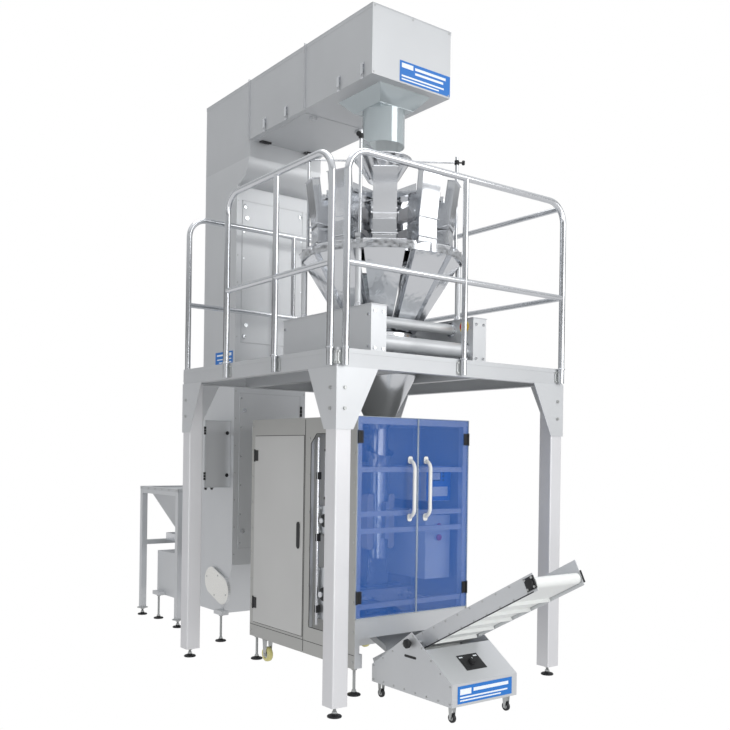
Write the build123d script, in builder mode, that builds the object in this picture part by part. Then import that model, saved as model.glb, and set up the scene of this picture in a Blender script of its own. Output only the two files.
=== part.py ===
from build123d import *
import math
import os

# Vertical form fill seal line: work platform, ten head weigher, bagging machine,
# Z bucket elevator, vibrating feeder and take-off conveyor.
# Millimetres. X runs along the bagger's front, Y from front to back, Z up from the floor.

os.makedirs("parts", exist_ok=True)

# ---------------------------------------------------------------- driving dimensions
fit_gap = 0.3                 # between flat or curved faces that move past each other
run_gap = 0.05                # radial, shaft in bore
sheet = 3                     # folded stainless sheet
thin_sheet = 2                # hoppers, funnels and chutes

platform_width = 1770
platform_depth = 1820
deck_top = 1960
deck_sheet = 4
beam_height = 100
beam_flange = 50
beam_web = 5
cross_beam = 60
leg_size = 100
leg_wall = 4
leg_corner = 8
leg_foot_plate = 6
gusset_reach = 270
gusset_drop = 330
gusset_sheet = 5
gusset_tip = 8                # how far a gusset runs past the leg at its lower end

rail_radius = 19
rail_wall = 2
rail_branch = 17              # tubes that run into a hoop
rail_top = 1050               # above the deck
rail_mid = 450
rail_bend = 130
rail_inset = 38               # corner to post centre
rail_plate = 6
rail_plate_size = 76
side_gap_from = 1180          # the way onto the deck starts here
side_post_at = 600
rail_join_angle = 45          # where the right top rail meets the bend

bolt_head = 9
bolt_head_height = 7

foot_pad_radius = 40
foot_pad_height = 12
foot_spindle = 9
platform_foot = 60

axis_x = 800                  # product axis, in the platform's corner frame
axis_y = 660
heads = 10
first_head = -90              # degrees: one head faces the front

side_box_from = 340           # weigher base boxes, measured from the product axis
side_box_width = 110
side_box_front = 170
side_box_back = 1100
side_box_height = 290
front_tube_radius = 45
front_tube_y = 250
front_tube_z = 90             # above the deck
back_tube_radius = 33
back_tube_y = 368
back_tube_z = 232
post_radius = 18
post_angle = 36
weigher_body_radius = 225
weigher_body_z = deck_top + 700
weigher_body_height = 290
arm_width = 36
arm_height = 30

pan_length = 215
pan_width = 96
pan_side = 50
pan_block = 60                # drive block under a pan, and the radius of the hub
pan_block_length = 48
pan_start_gap = 10
pan_rise = 25
cone_radius = 160
cone_height = 95
cone_tip = 6

hopper_width = 140
hopper_radial = 110
hopper_inner = 335            # inner wall from the product axis
feed_hopper_z = deck_top + 845
feed_hopper_height = 295
feed_hopper_lean = 8
feed_notch = 155              # the inner wall is lower from here up, to clear the pan
feed_notch_depth = 60
weigh_hopper_z = deck_top + 708
weigh_hopper_height = 118
gate_sheet = 2
hanger_width = 30
hanger_height = 20

chute_top_z = deck_top + 690
chute_top_r = 507
chute_bottom_z = deck_top + 180
chute_bottom_r = 200
chute_top_width = 258
chute_bottom_width = 96
chute_lip = 45
chute_band = 50
chute_band_sheet = 4
chute_over = 10               # the lips' inner cut runs past both ends

funnel_rim_radius = 185
funnel_neck_radius = 95
funnel_rim_z = deck_top + 1310
funnel_neck_z = deck_top + 1170
funnel_rod = 8
funnel_arm_rod = 5.5
funnel_arm_inset = 8          # how far the rods run inside the funnel's rim
funnel_rod_radius = 470       # from the product axis
funnel_rod_top = deck_top + 1340
funnel_arm_z = deck_top + 1302

collector_radius = 230
collector_top = deck_top + 190
collector_shoulder = deck_top - 65
collector_neck = 92.5
collector_flange = 30

# bagger
bag_left = 360
bag_width = 880
bag_front = 300
bag_depth = 1200
bag_bottom = 160
bag_top = 1620
collector_bottom = bag_top + 5    # the collecting funnel ends just above the forming tube
base_rail = 60
base_rail_height = 80
bag_post = 40
bulkhead_y = 800
door_bottom = 450
door_seam = 820
door_sheet = 5
door_gap = 2
apron_bottom = 330
bay_from = 425
bay_to = 775
bay_bottom = 330
bay_top = 1520
bay_chamfer = 60
side_door_from = 862
side_door_to = 1440
side_door_bottom = 270
side_door_top = 1500
side_door_lap = 10
side_pull_height = 160
side_pull_width = 40
side_pull_border = 10
hinge_radius = 5
hinge_length = 80

tube_radius = 57.5
tube_bottom = 744
tube_funnel_radius = 98
tube_funnel_z = 1560
tube_bracket_z = 1500
funnel_hole_clear = 8
collar_bottom = 1330
collar_top = 1460
collar_spread = 130
collar_clear = 5              # collar's neck, outside the forming tube
collar_bore_clear = 3
collar_cut_z = 40             # the front of the collar is cut from here up
collar_cut_y = 20
belt_unit_height = 350
belt_unit_bottom = 800
belt_unit_depth = 60
belt_unit_thick = 50
belt_clear = 1
belt_unit_bend = 22
belt_carriage_inset = 10
carriage_height = 50
sealer_bottom = 870
sealer_height = 230
sealer_width = 30
sealer_depth = 36
sealer_clear = 2
sealer_travel = 15
sealer_rod = 8
sealer_cylinder = 22
sealer_cylinder_length = 150
cross_bar = 30
cross_bars_z = (1310, 1050, 950)
sealer_bar = 1050

jaw_bottom = 460
jaw_height = 100
jaw_depth = 60
jaw_width = 460
jaw_gap = 80
jaw_rod_radius = 12.5
jaw_rod_spacing = 400
knife_slot = 4.6
knife_sheet = 4
knife_width = 320
knife_depth = 37
knife_back = 15
knife_travel = 25

film_roll_radius = 150
film_roll_width = 500
film_core = 38
film_shaft = 15
film_roll_y = 1200
film_roll_z = 480
film_plate = 8
film_plate_front = 870
film_plate_back = 1380
film_plate_top = 1250
film_roller = 20
film_roller_places = ((930, 1180), (1080, 1180), (1250, 1100), (1250, 820))
dancer_y = 1000
dancer_z = 760
dancer_length = 200
dancer_shaft = 12
dancer_roller = 15
dancer_arm_sheet = 6
dancer_arm_gap = 14

cabinet_width = 207
cabinet_front = 420
cabinet_low = (620, 1020)
cabinet_high = (1110, 1330)
button_x = 1090
button_heights = (880, 950)
button_stem = 8
button_head = 20
button_travel = 5
button_ring = 6
button_cap = 12
button_collar = 4             # ring outside the button's head
button_tail = 30
weigher_button_y = 250
weigher_button_z = deck_top + 240

slide_width = 400
slide_back_z = 400
slide_front_y = 318
slide_front_z = 234
slide_side = 36

castor_radius = 48
castor_width = 32
castor_lift = 10
castor_fork = 4
castor_fork_clear = 3
castor_inset = 140            # bagger's castors, from its feet

# elevator
elev_width = 620
elev_left = 490
column_front = 2000
column_depth = 500
column_bottom = 570
column_top = deck_top + 1570
arm_front = 380
arm_bottom = deck_top + 1690
arm_top = deck_top + 2110
cover_reach = 170
panel_side = 45
upper_panel = (deck_top + 250, deck_top + 1300)
lower_door = (690, 1840)
hatch_front = 1150
hatch_back = 1780
hatch_side = 40
latch_width = 30
latch_length = 52
latch_inset = 8
latch_height = 22
door_rebate = 10              # how far a panel laps its opening
spout_x = 400
spout_y = 440
spout_z = deck_top + 1610
collar_radius = 135
collar_end = deck_top + 1390
box_width = 205
box_front = 2050
box_depth = 300
box_bottom = 1140
box_height = 490
boot_bottom = 200
boot_back = 3300
boot_nose = 120
boot_rear_top = 560
boot_mouth = (2560, 2720)
boot_mouth_clear = 20
guard_radius = 105
guard_length = 170
guard_thick = 20
guard_slope = 0.35            # rise over run of the chain guard
guard_y = 2200
guard_z = 400
outrigger_reach = 60
outrigger_size = 120
outrigger_sheet = 30
outriggers_y = (2100, 3200)
bucket_width = 460
bucket_depth = 130
bucket_height = 90
bucket_pitch = 230
chain_bar = 12
head_shaft = 20
bucket_first = 69             # lowest bucket, above the column's foot
chain_drop = 60               # the chain's low run, below the column
chain_rise = 100              # its high run, above the head shaft

# feeder
feeder_left = 400
feeder_width = 800
feeder_front = 2730
feeder_depth = 740
feeder_post = 46
feeder_ring_top = 1090
feeder_rim = 10
feeder_wall_gap = 4
feeder_outlet = 300
feeder_outlet_z = 715
tray_width = 400
tray_front = 2590
tray_back = 3380
tray_bottom = 640
tray_side = 60
tray_rail = 38

# take-off conveyor
take_x = 700
take_width = 480
take_front = -420
take_back = 260
take_bottom = 90
take_front_height = 120
take_apex_y = -90
take_apex_z = 430
take_back_height = 100
control_top_y = -205
belt_width = 320
belt_low = (300, 170)
belt_high = (-890, 790)
belt_radius = 28
belt_sheet = 3
cleat_height = 18
cleat_pitch = 150
take_rail_depth = 90
take_rail_gap = 7
take_pivot_at = 430           # along the belt from its lower pulley
take_pivot_radius = 12
take_shaft = 10
stub_length = 36
guard_plate = 45
knob_radius = 18
knob_height = 20
knob_shaft = 5
knob_rib = 3
belt_bar_height = 42
belt_bar_length = 60
belt_bars_at = (310, 730)     # cross bars along the belt, from its lower pulley
belt_bar_from_top = 240
cleat_sheet = 5
cleat_root = 1
small_castor = 25
small_castor_width = 20
small_castor_inset = 40

# ---------------------------------------------------------------- worked out
up = (Align.CENTER, Align.CENTER, Align.MIN)
beam_bottom = deck_top - beam_height
frame_top = deck_top - deck_sheet
bag_right = bag_left + bag_width
bag_back = bag_front + bag_depth
frame_left = bag_left + sheet
frame_right = bag_right - sheet
frame_front = bag_front + sheet
frame_back = bag_back - sheet
elev_right = elev_left + elev_width
column_back = column_front + column_depth
weigher_body_top = weigher_body_z + weigher_body_height
feeder_right = feeder_left + feeder_width
feeder_back = feeder_front + feeder_depth
take_left = take_x - take_width / 2
take_right = take_x + take_width / 2
rail_offset = rail_plate + rail_branch - rail_wall
belt_start = Vector(0, belt_low[0], belt_low[1])
belt_end = Vector(0, belt_high[0], belt_high[1])
belt_length = (belt_end - belt_start).length
belt_along = (belt_end - belt_start).normalized()

nodes = {}


def keep(name, block):
    """Label a finished block and keep it under its node's name."""
    block.part.label = name
    nodes[name] = block.part


def slab(x, y, z, mode=Mode.ADD):
    """Rectangular block between pairs of X, Y and Z."""
    with Locations(((x[0] + x[1]) / 2, (y[0] + y[1]) / 2, (z[0] + z[1]) / 2)):
        Box(x[1] - x[0], y[1] - y[0], z[1] - z[0], mode=mode)


def rod(start, end, radius, mode=Mode.ADD):
    """Round bar from one point to another."""
    line = Vector(*end) - Vector(*start)
    with Locations(Plane(origin=start, z_dir=line)):
        Cylinder(radius, line.length, align=up, mode=mode)


def frustum(low_z, low_x, low_y, high_z, high_x, high_y, centre, mode=Mode.ADD):
    """Four sided taper between two centred rectangles."""
    with BuildSketch(Plane.XY.offset(low_z)) as low:
        with Locations(centre):
            Rectangle(low_x, low_y)
    with BuildSketch(Plane.XY.offset(high_z)) as high:
        with Locations(centre):
            Rectangle(high_x, high_y)
    loft([low.sketch.face(), high.sketch.face()], mode=mode)


def plate_yz(points, x, mode=Mode.ADD):
    """Plate with a YZ outline between two X values."""
    with BuildSketch(Plane(origin=(x[0], 0, 0), x_dir=(0, 1, 0), z_dir=(1, 0, 0))) as face:
        Polygon(*points, align=None)
    extrude(face.sketch, amount=x[1] - x[0], mode=mode)


def castor(x, y, top, radius, width, lift):
    """Fixed castor: tyre, two fork cheeks and a top plate, all in one piece."""
    centre_z = radius + lift
    rod((x - width / 2, y, centre_z), (x + width / 2, y, centre_z), radius)
    rod((x - width, y, centre_z), (x + width, y, centre_z), radius / 5)
    for side in (-1, 1):
        inner = x + side * (width / 2 + castor_fork_clear)
        outer = inner + side * castor_fork
        slab((min(inner, outer), max(inner, outer)), (y - radius / 2, y + radius / 2),
             (centre_z - radius / 4, top))
    plate = width / 2 + castor_fork_clear + castor_fork
    slab((x - plate, x + plate), (y - radius * 0.7, y + radius * 0.7), (radius * 2 + lift + 4, top))


# ---------------------------------------------------------------- platform
leg_centres = [
    (x, y)
    for x in (leg_size / 2, platform_width - leg_size / 2)
    for y in (leg_size / 2, platform_depth - leg_size / 2)
]

with BuildPart() as legs:
    with BuildSketch(Plane.XY.offset(platform_foot)):
        with Locations(*leg_centres):
            RectangleRounded(leg_size, leg_size, leg_corner)
    extrude(amount=beam_bottom - platform_foot)
    with BuildSketch(Plane.XY.offset(platform_foot + leg_foot_plate)):
        with Locations(*leg_centres):
            Rectangle(leg_size - 2 * leg_wall, leg_size - 2 * leg_wall)
    extrude(amount=beam_bottom, mode=Mode.SUBTRACT)
keep("platform_legs", legs)

with BuildPart() as frame:
    slab((0, platform_width), (0, platform_depth), (beam_bottom, frame_top))
    slab((beam_web, platform_width - beam_web), (beam_web, platform_depth - beam_web),
         (beam_bottom + beam_web, frame_top - beam_web), Mode.SUBTRACT)
    slab((beam_flange, platform_width - beam_flange), (beam_flange, platform_depth - beam_flange),
         (beam_bottom, frame_top), Mode.SUBTRACT)
    for side in (-1, 1):
        beam_x = axis_x + side * (collector_radius + cross_beam)
        slab((beam_x - cross_beam / 2, beam_x + cross_beam / 2), (beam_web, platform_depth - beam_web),
             (beam_bottom + beam_web, frame_top))
keep("platform_frame", frame)

with BuildPart() as deck:
    slab((0, platform_width), (0, platform_depth), (frame_top, deck_top))
    with Locations((axis_x, axis_y, deck_top)):
        Hole(collector_radius + fit_gap, depth=deck_sheet)
keep("deck_plate", deck)

gusset_low = beam_bottom - gusset_drop
with BuildPart() as gussets:
    for side_x in (0, 1):
        for side_y in (0, 1):
            out_x = 1 - 2 * side_x
            out_y = 1 - 2 * side_y
            corner = (side_x * platform_width, side_y * platform_depth)
            with BuildSketch(Plane.XZ.offset(-corner[1])) as wide:
                Polygon((corner[0] - out_x * gusset_sheet, beam_bottom),
                        (corner[0] + out_x * gusset_reach, beam_bottom),
                        (corner[0] + out_x * (leg_size + gusset_tip), gusset_low),
                        (corner[0] - out_x * gusset_sheet, gusset_low), align=None)
            extrude(wide.sketch, amount=out_y * gusset_sheet)
            with BuildSketch(Plane.YZ.offset(corner[0])) as deep:
                Polygon((corner[1], beam_bottom),
                        (corner[1] + out_y * gusset_reach, beam_bottom),
                        (corner[1] + out_y * (leg_size + gusset_tip), gusset_low),
                        (corner[1], gusset_low), align=None)
            extrude(deep.sketch, amount=-out_x * gusset_sheet)
keep("corner_gussets", gussets)

rail_z = deck_top + rail_top
mid_z = deck_top + rail_mid
rail_foot = beam_bottom + rail_plate
back_rail_y = platform_depth + rail_offset
right_post_x = platform_width - rail_inset
front_middle_x = platform_width / 2


def hoop(start, end, radius, mode=Mode.ADD):
    """Bent tube: up one post, along the top and down the other."""
    with BuildLine() as path:
        FilletPolyline((*start, rail_foot), (*start, rail_z), (*end, rail_z), (*end, rail_foot),
                       radius=rail_bend)
    with BuildSketch(Plane(origin=(*start, rail_foot), z_dir=(0, 0, 1))) as ring:
        Circle(radius)
    sweep(ring.sketch, path=path.wire(), mode=mode)


def all_rails(inset, mode=Mode.ADD):
    """Every tube of the guard rail, thinner by an inset."""
    radius = rail_radius - inset
    branch = rail_branch - inset
    hoop((rail_inset, -rail_offset), (right_post_x, -rail_offset), radius, mode)
    hoop((-rail_offset, rail_inset), (-rail_offset, side_gap_from), radius, mode)
    hoop((rail_inset, back_rail_y), (right_post_x, back_rail_y), radius, mode)
    rod((rail_inset, -rail_offset, mid_z), (right_post_x, -rail_offset, mid_z), branch, mode)
    rod((rail_inset, back_rail_y, mid_z), (right_post_x, back_rail_y, mid_z), branch, mode)
    rod((-rail_offset, rail_inset, mid_z), (-rail_offset, side_gap_from, mid_z), branch, mode)
    rod((right_post_x, -rail_offset, mid_z), (right_post_x, back_rail_y, mid_z), branch, mode)
    join = rail_bend * math.cos(math.radians(rail_join_angle))
    join_x = right_post_x - rail_bend + join
    join_z = rail_z - rail_bend + join
    rod((join_x, -rail_offset, join_z), (join_x, back_rail_y, join_z), branch, mode)
    rod((front_middle_x, -rail_offset, rail_foot), (front_middle_x, -rail_offset, rail_z), branch, mode)
    rod((front_middle_x, back_rail_y, rail_foot), (front_middle_x, back_rail_y, rail_z), branch, mode)
    rod((-rail_offset, side_post_at, rail_foot), (-rail_offset, side_post_at, rail_z), branch, mode)


front_posts = [(x, -rail_plate / 2) for x in (rail_inset, front_middle_x, right_post_x)]
back_posts = [(x, platform_depth + rail_plate / 2) for x, _ in front_posts]
left_posts = [(-rail_plate / 2, y) for y in (rail_inset, side_post_at, side_gap_from)]
plate_z = (beam_bottom + rail_plate + frame_top - rail_plate) / 2
with BuildPart() as rails:
    all_rails(0)
    all_rails(rail_wall, Mode.SUBTRACT)
    with Locations(*[(x, y, plate_z) for x, y in front_posts + back_posts]):
        Box(rail_plate_size, rail_plate, rail_plate_size - 4)
    with Locations(*[(x, y, plate_z) for x, y in left_posts]):
        Box(rail_plate, rail_plate_size, rail_plate_size - 4)
keep("handrails", rails)

bolt_step = rail_plate_size / 2 - bolt_head
with BuildPart() as bolts:
    for x, y in front_posts + back_posts:
        face_y = -rail_plate if y < 0 else platform_depth + rail_plate
        outward = -1 if y < 0 else 1
        for dx in (-bolt_step, bolt_step):
            for dz in (-bolt_step, bolt_step):
                rod((x + dx, face_y, plate_z + dz),
                    (x + dx, face_y + outward * bolt_head_height, plate_z + dz), bolt_head / 2 + 1)
    for x, y in left_posts:
        for dy in (-bolt_step, bolt_step):
            for dz in (-bolt_step, bolt_step):
                rod((-rail_plate, y + dy, plate_z + dz),
                    (-rail_plate - bolt_head_height, y + dy, plate_z + dz), bolt_head / 2 + 1)
    for dz in (gusset_drop / 3, gusset_drop * 2 / 3):
        bolt_z = beam_bottom - dz
        for x in (leg_size / 2, platform_width - leg_size / 2):
            rod((x, -gusset_sheet, bolt_z), (x, -gusset_sheet - bolt_head_height, bolt_z), bolt_head)
            rod((x, platform_depth + gusset_sheet, bolt_z),
                (x, platform_depth + gusset_sheet + bolt_head_height, bolt_z), bolt_head)
        for y in (leg_size / 2, platform_depth - leg_size / 2):
            rod((-gusset_sheet, y, bolt_z), (-gusset_sheet - bolt_head_height, y, bolt_z), bolt_head)
            rod((platform_width + gusset_sheet, y, bolt_z),
                (platform_width + gusset_sheet + bolt_head_height, y, bolt_z), bolt_head)
keep("platform_bolts", bolts)

# ---------------------------------------------------------------- levelling feet
bag_feet = [(x, y) for x in (frame_left + base_rail / 2, frame_right - base_rail / 2)
            for y in (frame_front + bag_post, frame_back - bag_post)]
outrigger_feet = [(x, y) for x in (elev_left - outrigger_reach / 2, elev_right + outrigger_reach / 2)
                  for y in outriggers_y]
feeder_feet = [(x, y) for x in (feeder_left + feeder_post / 2, feeder_right - feeder_post / 2)
               for y in (feeder_front + feeder_post / 2, feeder_back - feeder_post / 2)]
with BuildPart() as feet:
    for places, height in ((leg_centres, platform_foot), (bag_feet, bag_bottom),
                           (outrigger_feet, boot_bottom), (feeder_feet, platform_foot)):
        with Locations(*places):
            Cylinder(foot_pad_radius, foot_pad_height, align=up)
        with Locations(*places):
            Cylinder(foot_spindle, height, align=up)
    pad_rims = feet.edges().filter_by(GeomType.CIRCLE).filter_by(
        lambda edge: edge.radius > foot_spindle and edge.center().Z > foot_pad_height / 2)
    chamfer(pad_rims, foot_pad_height / 3)
keep("levelling_feet", feet)

# ---------------------------------------------------------------- weigher
box_top = deck_top + side_box_height
left_box = (axis_x - side_box_from - side_box_width, axis_x - side_box_from)
right_box = (axis_x + side_box_from, axis_x + side_box_from + side_box_width)
post_x = side_box_from + side_box_width / 2
post_y = post_x * math.tan(math.radians(post_angle))
post_r = math.hypot(post_x, post_y)
post_places = [(axis_x + sx * post_x, axis_y + sy * post_y) for sx in (-1, 1) for sy in (-1, 1)]
with BuildPart() as weigher_base:
    for span in (left_box, right_box):
        slab(span, (side_box_front, side_box_back), (deck_top, box_top))
        slab((span[0] + sheet, span[1] - sheet), (side_box_front + sheet, side_box_back - sheet),
             (deck_top, box_top - sheet), Mode.SUBTRACT)
    for y, z, radius in ((front_tube_y, front_tube_z, front_tube_radius),
                         (back_tube_y, back_tube_z, back_tube_radius),
                         (2 * axis_y - front_tube_y, front_tube_z, front_tube_radius)):
        rod((left_box[1] - sheet, y, deck_top + z), (right_box[0] + sheet, y, deck_top + z), radius)
        rod((left_box[1] - sheet, y, deck_top + z), (right_box[0] + sheet, y, deck_top + z),
            radius - sheet, Mode.SUBTRACT)
    for x, y in post_places:
        rod((x, y, box_top - sheet), (x, y, weigher_body_z), post_radius)
    rod((right_box[0] - button_ring, weigher_button_y, weigher_button_z),
        (right_box[0] + sheet / 2, weigher_button_y, weigher_button_z), button_head + button_collar)
    rod((right_box[0] - button_ring, weigher_button_y, weigher_button_z),
        (right_box[0] + sheet, weigher_button_y, weigher_button_z), button_stem + fit_gap, Mode.SUBTRACT)
keep("weigher_base", weigher_base)

with BuildPart() as weigher_body:
    with Locations((axis_x, axis_y, weigher_body_z)):
        Cylinder(weigher_body_radius, weigher_body_height, align=up)
    for sx in (-1, 1):
        for sy in (-1, 1):
            angle = math.degrees(math.atan2(sy * post_y, sx * post_x))
            with Locations(Location((axis_x, axis_y, weigher_body_z), (0, 0, angle))):
                with Locations(((weigher_body_radius + post_r) / 2, 0, 0)):
                    Box(post_r - weigher_body_radius + 2 * post_radius, arm_width, arm_height, align=up)
    with Locations((axis_x, axis_y, weigher_body_z)):
        Cylinder(weigher_body_radius - sheet, weigher_body_height - sheet, align=up, mode=Mode.SUBTRACT)
keep("weigher_body", weigher_body)

pan_start = cone_radius + pan_start_gap
with BuildPart() as one_pan:
    slab((pan_start, pan_start + pan_length), (-pan_width / 2, pan_width / 2),
         (pan_rise, pan_rise + pan_side))
    slab((pan_start + thin_sheet, pan_start + pan_length),
         (thin_sheet - pan_width / 2, pan_width / 2 - thin_sheet),
         (pan_rise + thin_sheet, pan_rise + pan_side), Mode.SUBTRACT)
    slab((pan_start, pan_start + pan_block_length), (-pan_block / 2, pan_block / 2), (0, pan_rise))

with BuildPart() as feeders:
    with Locations((axis_x, axis_y, weigher_body_top)):
        with PolarLocations(0, heads, start_angle=first_head):
            add(one_pan.part)
    with Locations((axis_x, axis_y, weigher_body_top)):
        Cylinder(pan_block, pan_rise, align=up)
    with Locations((axis_x, axis_y, weigher_body_top + pan_rise)):
        Cone(cone_radius, cone_tip, cone_height, align=up)
keep("radial_feeders", feeders)

with BuildPart() as feed_hopper:
    slab((0, hopper_radial), (-hopper_width / 2, hopper_width / 2), (0, feed_hopper_height))
    slab((thin_sheet, hopper_radial - thin_sheet),
         (thin_sheet - hopper_width / 2, hopper_width / 2 - thin_sheet),
         (0, feed_hopper_height), Mode.SUBTRACT)
    slab((0, feed_notch_depth), (-hopper_width / 2, hopper_width / 2),
         (feed_notch, feed_hopper_height), Mode.SUBTRACT)
lean = math.radians(feed_hopper_lean)
hanger_z = feed_hopper_z + hanger_height * 2
hanger_lean = (hanger_z - feed_hopper_z) * math.tan(lean)
with BuildPart() as feed_hoppers:
    with Locations((axis_x, axis_y, 0)):
        with PolarLocations(0, heads, start_angle=first_head):
            with Locations(Location((hopper_inner, 0, feed_hopper_z), (0, feed_hopper_lean, 0))):
                add(feed_hopper.part)
            with Locations((weigher_body_radius + fit_gap, 0, hanger_z)):
                Box(hopper_inner + hanger_lean + thin_sheet - weigher_body_radius - fit_gap,
                    hanger_width, hanger_height, align=(Align.MIN, Align.CENTER, Align.MIN))
keep("feed_hoppers", feed_hoppers)

with BuildPart() as weigh_hoppers:
    with Locations((axis_x, axis_y, weigh_hopper_z)):
        with PolarLocations(0, heads, start_angle=first_head):
            with Locations((hopper_inner + hopper_radial / 2, 0, 0)):
                Box(hopper_radial, hopper_width, weigh_hopper_height, align=up)
    with Locations((axis_x, axis_y, weigh_hopper_z)):
        with PolarLocations(0, heads, start_angle=first_head):
            with Locations((hopper_inner + hopper_radial / 2, 0, 0)):
                Box(hopper_radial - 2 * thin_sheet, hopper_width - 2 * thin_sheet, weigh_hopper_height,
                    align=up, mode=Mode.SUBTRACT)
            with Locations(((weigher_body_radius + fit_gap + hopper_inner) / 2, 0, weigh_hopper_height / 2)):
                Box(hopper_inner - weigher_body_radius - fit_gap, hanger_width, hanger_height, align=up)
keep("weigh_hoppers", weigh_hoppers)

with BuildPart() as gates:
    with Locations((axis_x, axis_y, weigh_hopper_z - gate_sheet)):
        with PolarLocations(0, heads, start_angle=first_head):
            with Locations((hopper_inner + hopper_radial / 2, 0, 0)):
                Box(hopper_radial, hopper_width - 2 * thin_sheet, gate_sheet, align=up)
    with Locations((axis_x, axis_y, 0)):
        with PolarLocations(0, heads, start_angle=first_head):
            with Locations(Location((hopper_inner, 0, feed_hopper_z), (0, feed_hopper_lean, 0))):
                with Locations((hopper_radial / 2, 0, -gate_sheet)):
                    Box(hopper_radial, hopper_width - 2 * thin_sheet, gate_sheet, align=up)
keep("hopper_gates", gates)

chute_run = Vector(chute_bottom_r - chute_top_r, 0, chute_bottom_z - chute_top_z)
chute_plane = Plane(origin=(chute_top_r, 0, chute_top_z), x_dir=(0, 1, 0),
                    z_dir=Vector(chute_run.Z, 0, -chute_run.X))
chute_down = 1 if chute_plane.y_dir.Z < 0 else -1
slant = chute_run.length


def chute_outline(inset, over):
    """Tapered outline of one chute, narrowed by inset and lengthened by over."""
    taper = (chute_top_width - chute_bottom_width) / 2 / slant
    top = chute_top_width / 2 - inset + taper * over
    bottom = chute_bottom_width / 2 - inset - taper * over
    Polygon((-top, -over * chute_down), (top, -over * chute_down),
            (bottom, (slant + over) * chute_down), (-bottom, (slant + over) * chute_down), align=None)


with BuildPart() as one_chute:
    with BuildSketch(chute_plane):
        chute_outline(0, 0)
    extrude(amount=thin_sheet)
    with BuildSketch(chute_plane):
        chute_outline(0, 0)
    extrude(amount=chute_lip if chute_plane.z_dir.X < 0 else -chute_lip)
    with BuildSketch(chute_plane.offset(thin_sheet if chute_plane.z_dir.X < 0 else 0)):
        chute_outline(thin_sheet, chute_over)
    extrude(amount=chute_lip if chute_plane.z_dir.X < 0 else -chute_lip, mode=Mode.SUBTRACT)

band_inner = post_r + post_radius + fit_gap
with BuildPart() as chutes:
    with BuildSketch(Plane.XY.offset(chute_top_z - chute_band)):
        with Locations((axis_x, axis_y)):
            Circle(band_inner + chute_band_sheet)
            Circle(band_inner, mode=Mode.SUBTRACT)
    extrude(amount=chute_band)
    with Locations((axis_x, axis_y, 0)):
        with PolarLocations(0, heads, start_angle=first_head):
            add(one_chute.part)
keep("discharge_chutes", chutes)

rod_angles = (180 + post_angle, -post_angle, 180 - post_angle)
with BuildPart() as infeed:
    with Locations((axis_x, axis_y, funnel_neck_z)):
        Cone(funnel_neck_radius, funnel_rim_radius, funnel_rim_z - funnel_neck_z, align=up)
    for angle in rod_angles:
        x = axis_x + funnel_rod_radius * math.cos(math.radians(angle))
        y = axis_y + funnel_rod_radius * math.sin(math.radians(angle))
        inner = funnel_rim_radius - funnel_arm_inset
        rim_x = axis_x + inner * math.cos(math.radians(angle))
        rim_y = axis_y + inner * math.sin(math.radians(angle))
        rod((x, y, weigher_body_z + arm_height), (x, y, funnel_rod_top), funnel_rod)
        rod((x, y, funnel_arm_z), (rim_x, rim_y, funnel_arm_z), funnel_arm_rod)
    with Locations((axis_x, axis_y, funnel_neck_z)):
        Cone(funnel_neck_radius - thin_sheet, funnel_rim_radius - thin_sheet,
             funnel_rim_z - funnel_neck_z, align=up, mode=Mode.SUBTRACT)
keep("infeed_funnel", infeed)

with BuildPart() as collector:
    with BuildSketch(Plane.XZ.offset(-axis_y)) as half:
        with BuildLine():
            Polyline((axis_x + collector_neck, collector_bottom),
                     (axis_x + collector_radius, collector_shoulder),
                     (axis_x + collector_radius, deck_top),
                     (axis_x + collector_radius + collector_flange, deck_top),
                     (axis_x + collector_radius + collector_flange, deck_top + thin_sheet),
                     (axis_x + collector_radius, deck_top + thin_sheet),
                     (axis_x + collector_radius, collector_top),
                     (axis_x + collector_radius - thin_sheet, collector_top),
                     (axis_x + collector_radius - thin_sheet, collector_shoulder),
                     (axis_x + collector_neck - thin_sheet, collector_bottom),
                     (axis_x + collector_neck, collector_bottom))
        make_face()
    revolve(axis=Axis((axis_x, axis_y, 0), (0, 0, 1)))
keep("collecting_funnel", collector)


def mushroom(face, inward, name):
    """Button with a stem through a wall; face is where its ring starts, inward its way in."""
    centre = Vector(*face)
    way = Vector(*inward)
    head_seat = centre - way * (button_travel + fit_gap)
    with BuildPart() as button:
        with Locations(Plane(origin=head_seat, z_dir=way * -1)):
            Cylinder(button_head, button_cap, align=up)
        fillet(button.edges().filter_by(GeomType.CIRCLE), button_cap / 3)
        with Locations(Plane(origin=head_seat - way * (button_cap / 2), z_dir=way)):
            Cylinder(button_stem, button_cap / 2 + button_travel + button_tail, align=up)
    keep(name, button)


mushroom((right_box[0] - button_ring, weigher_button_y, weigher_button_z), (1, 0, 0), "weigher_stop_button")

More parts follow.
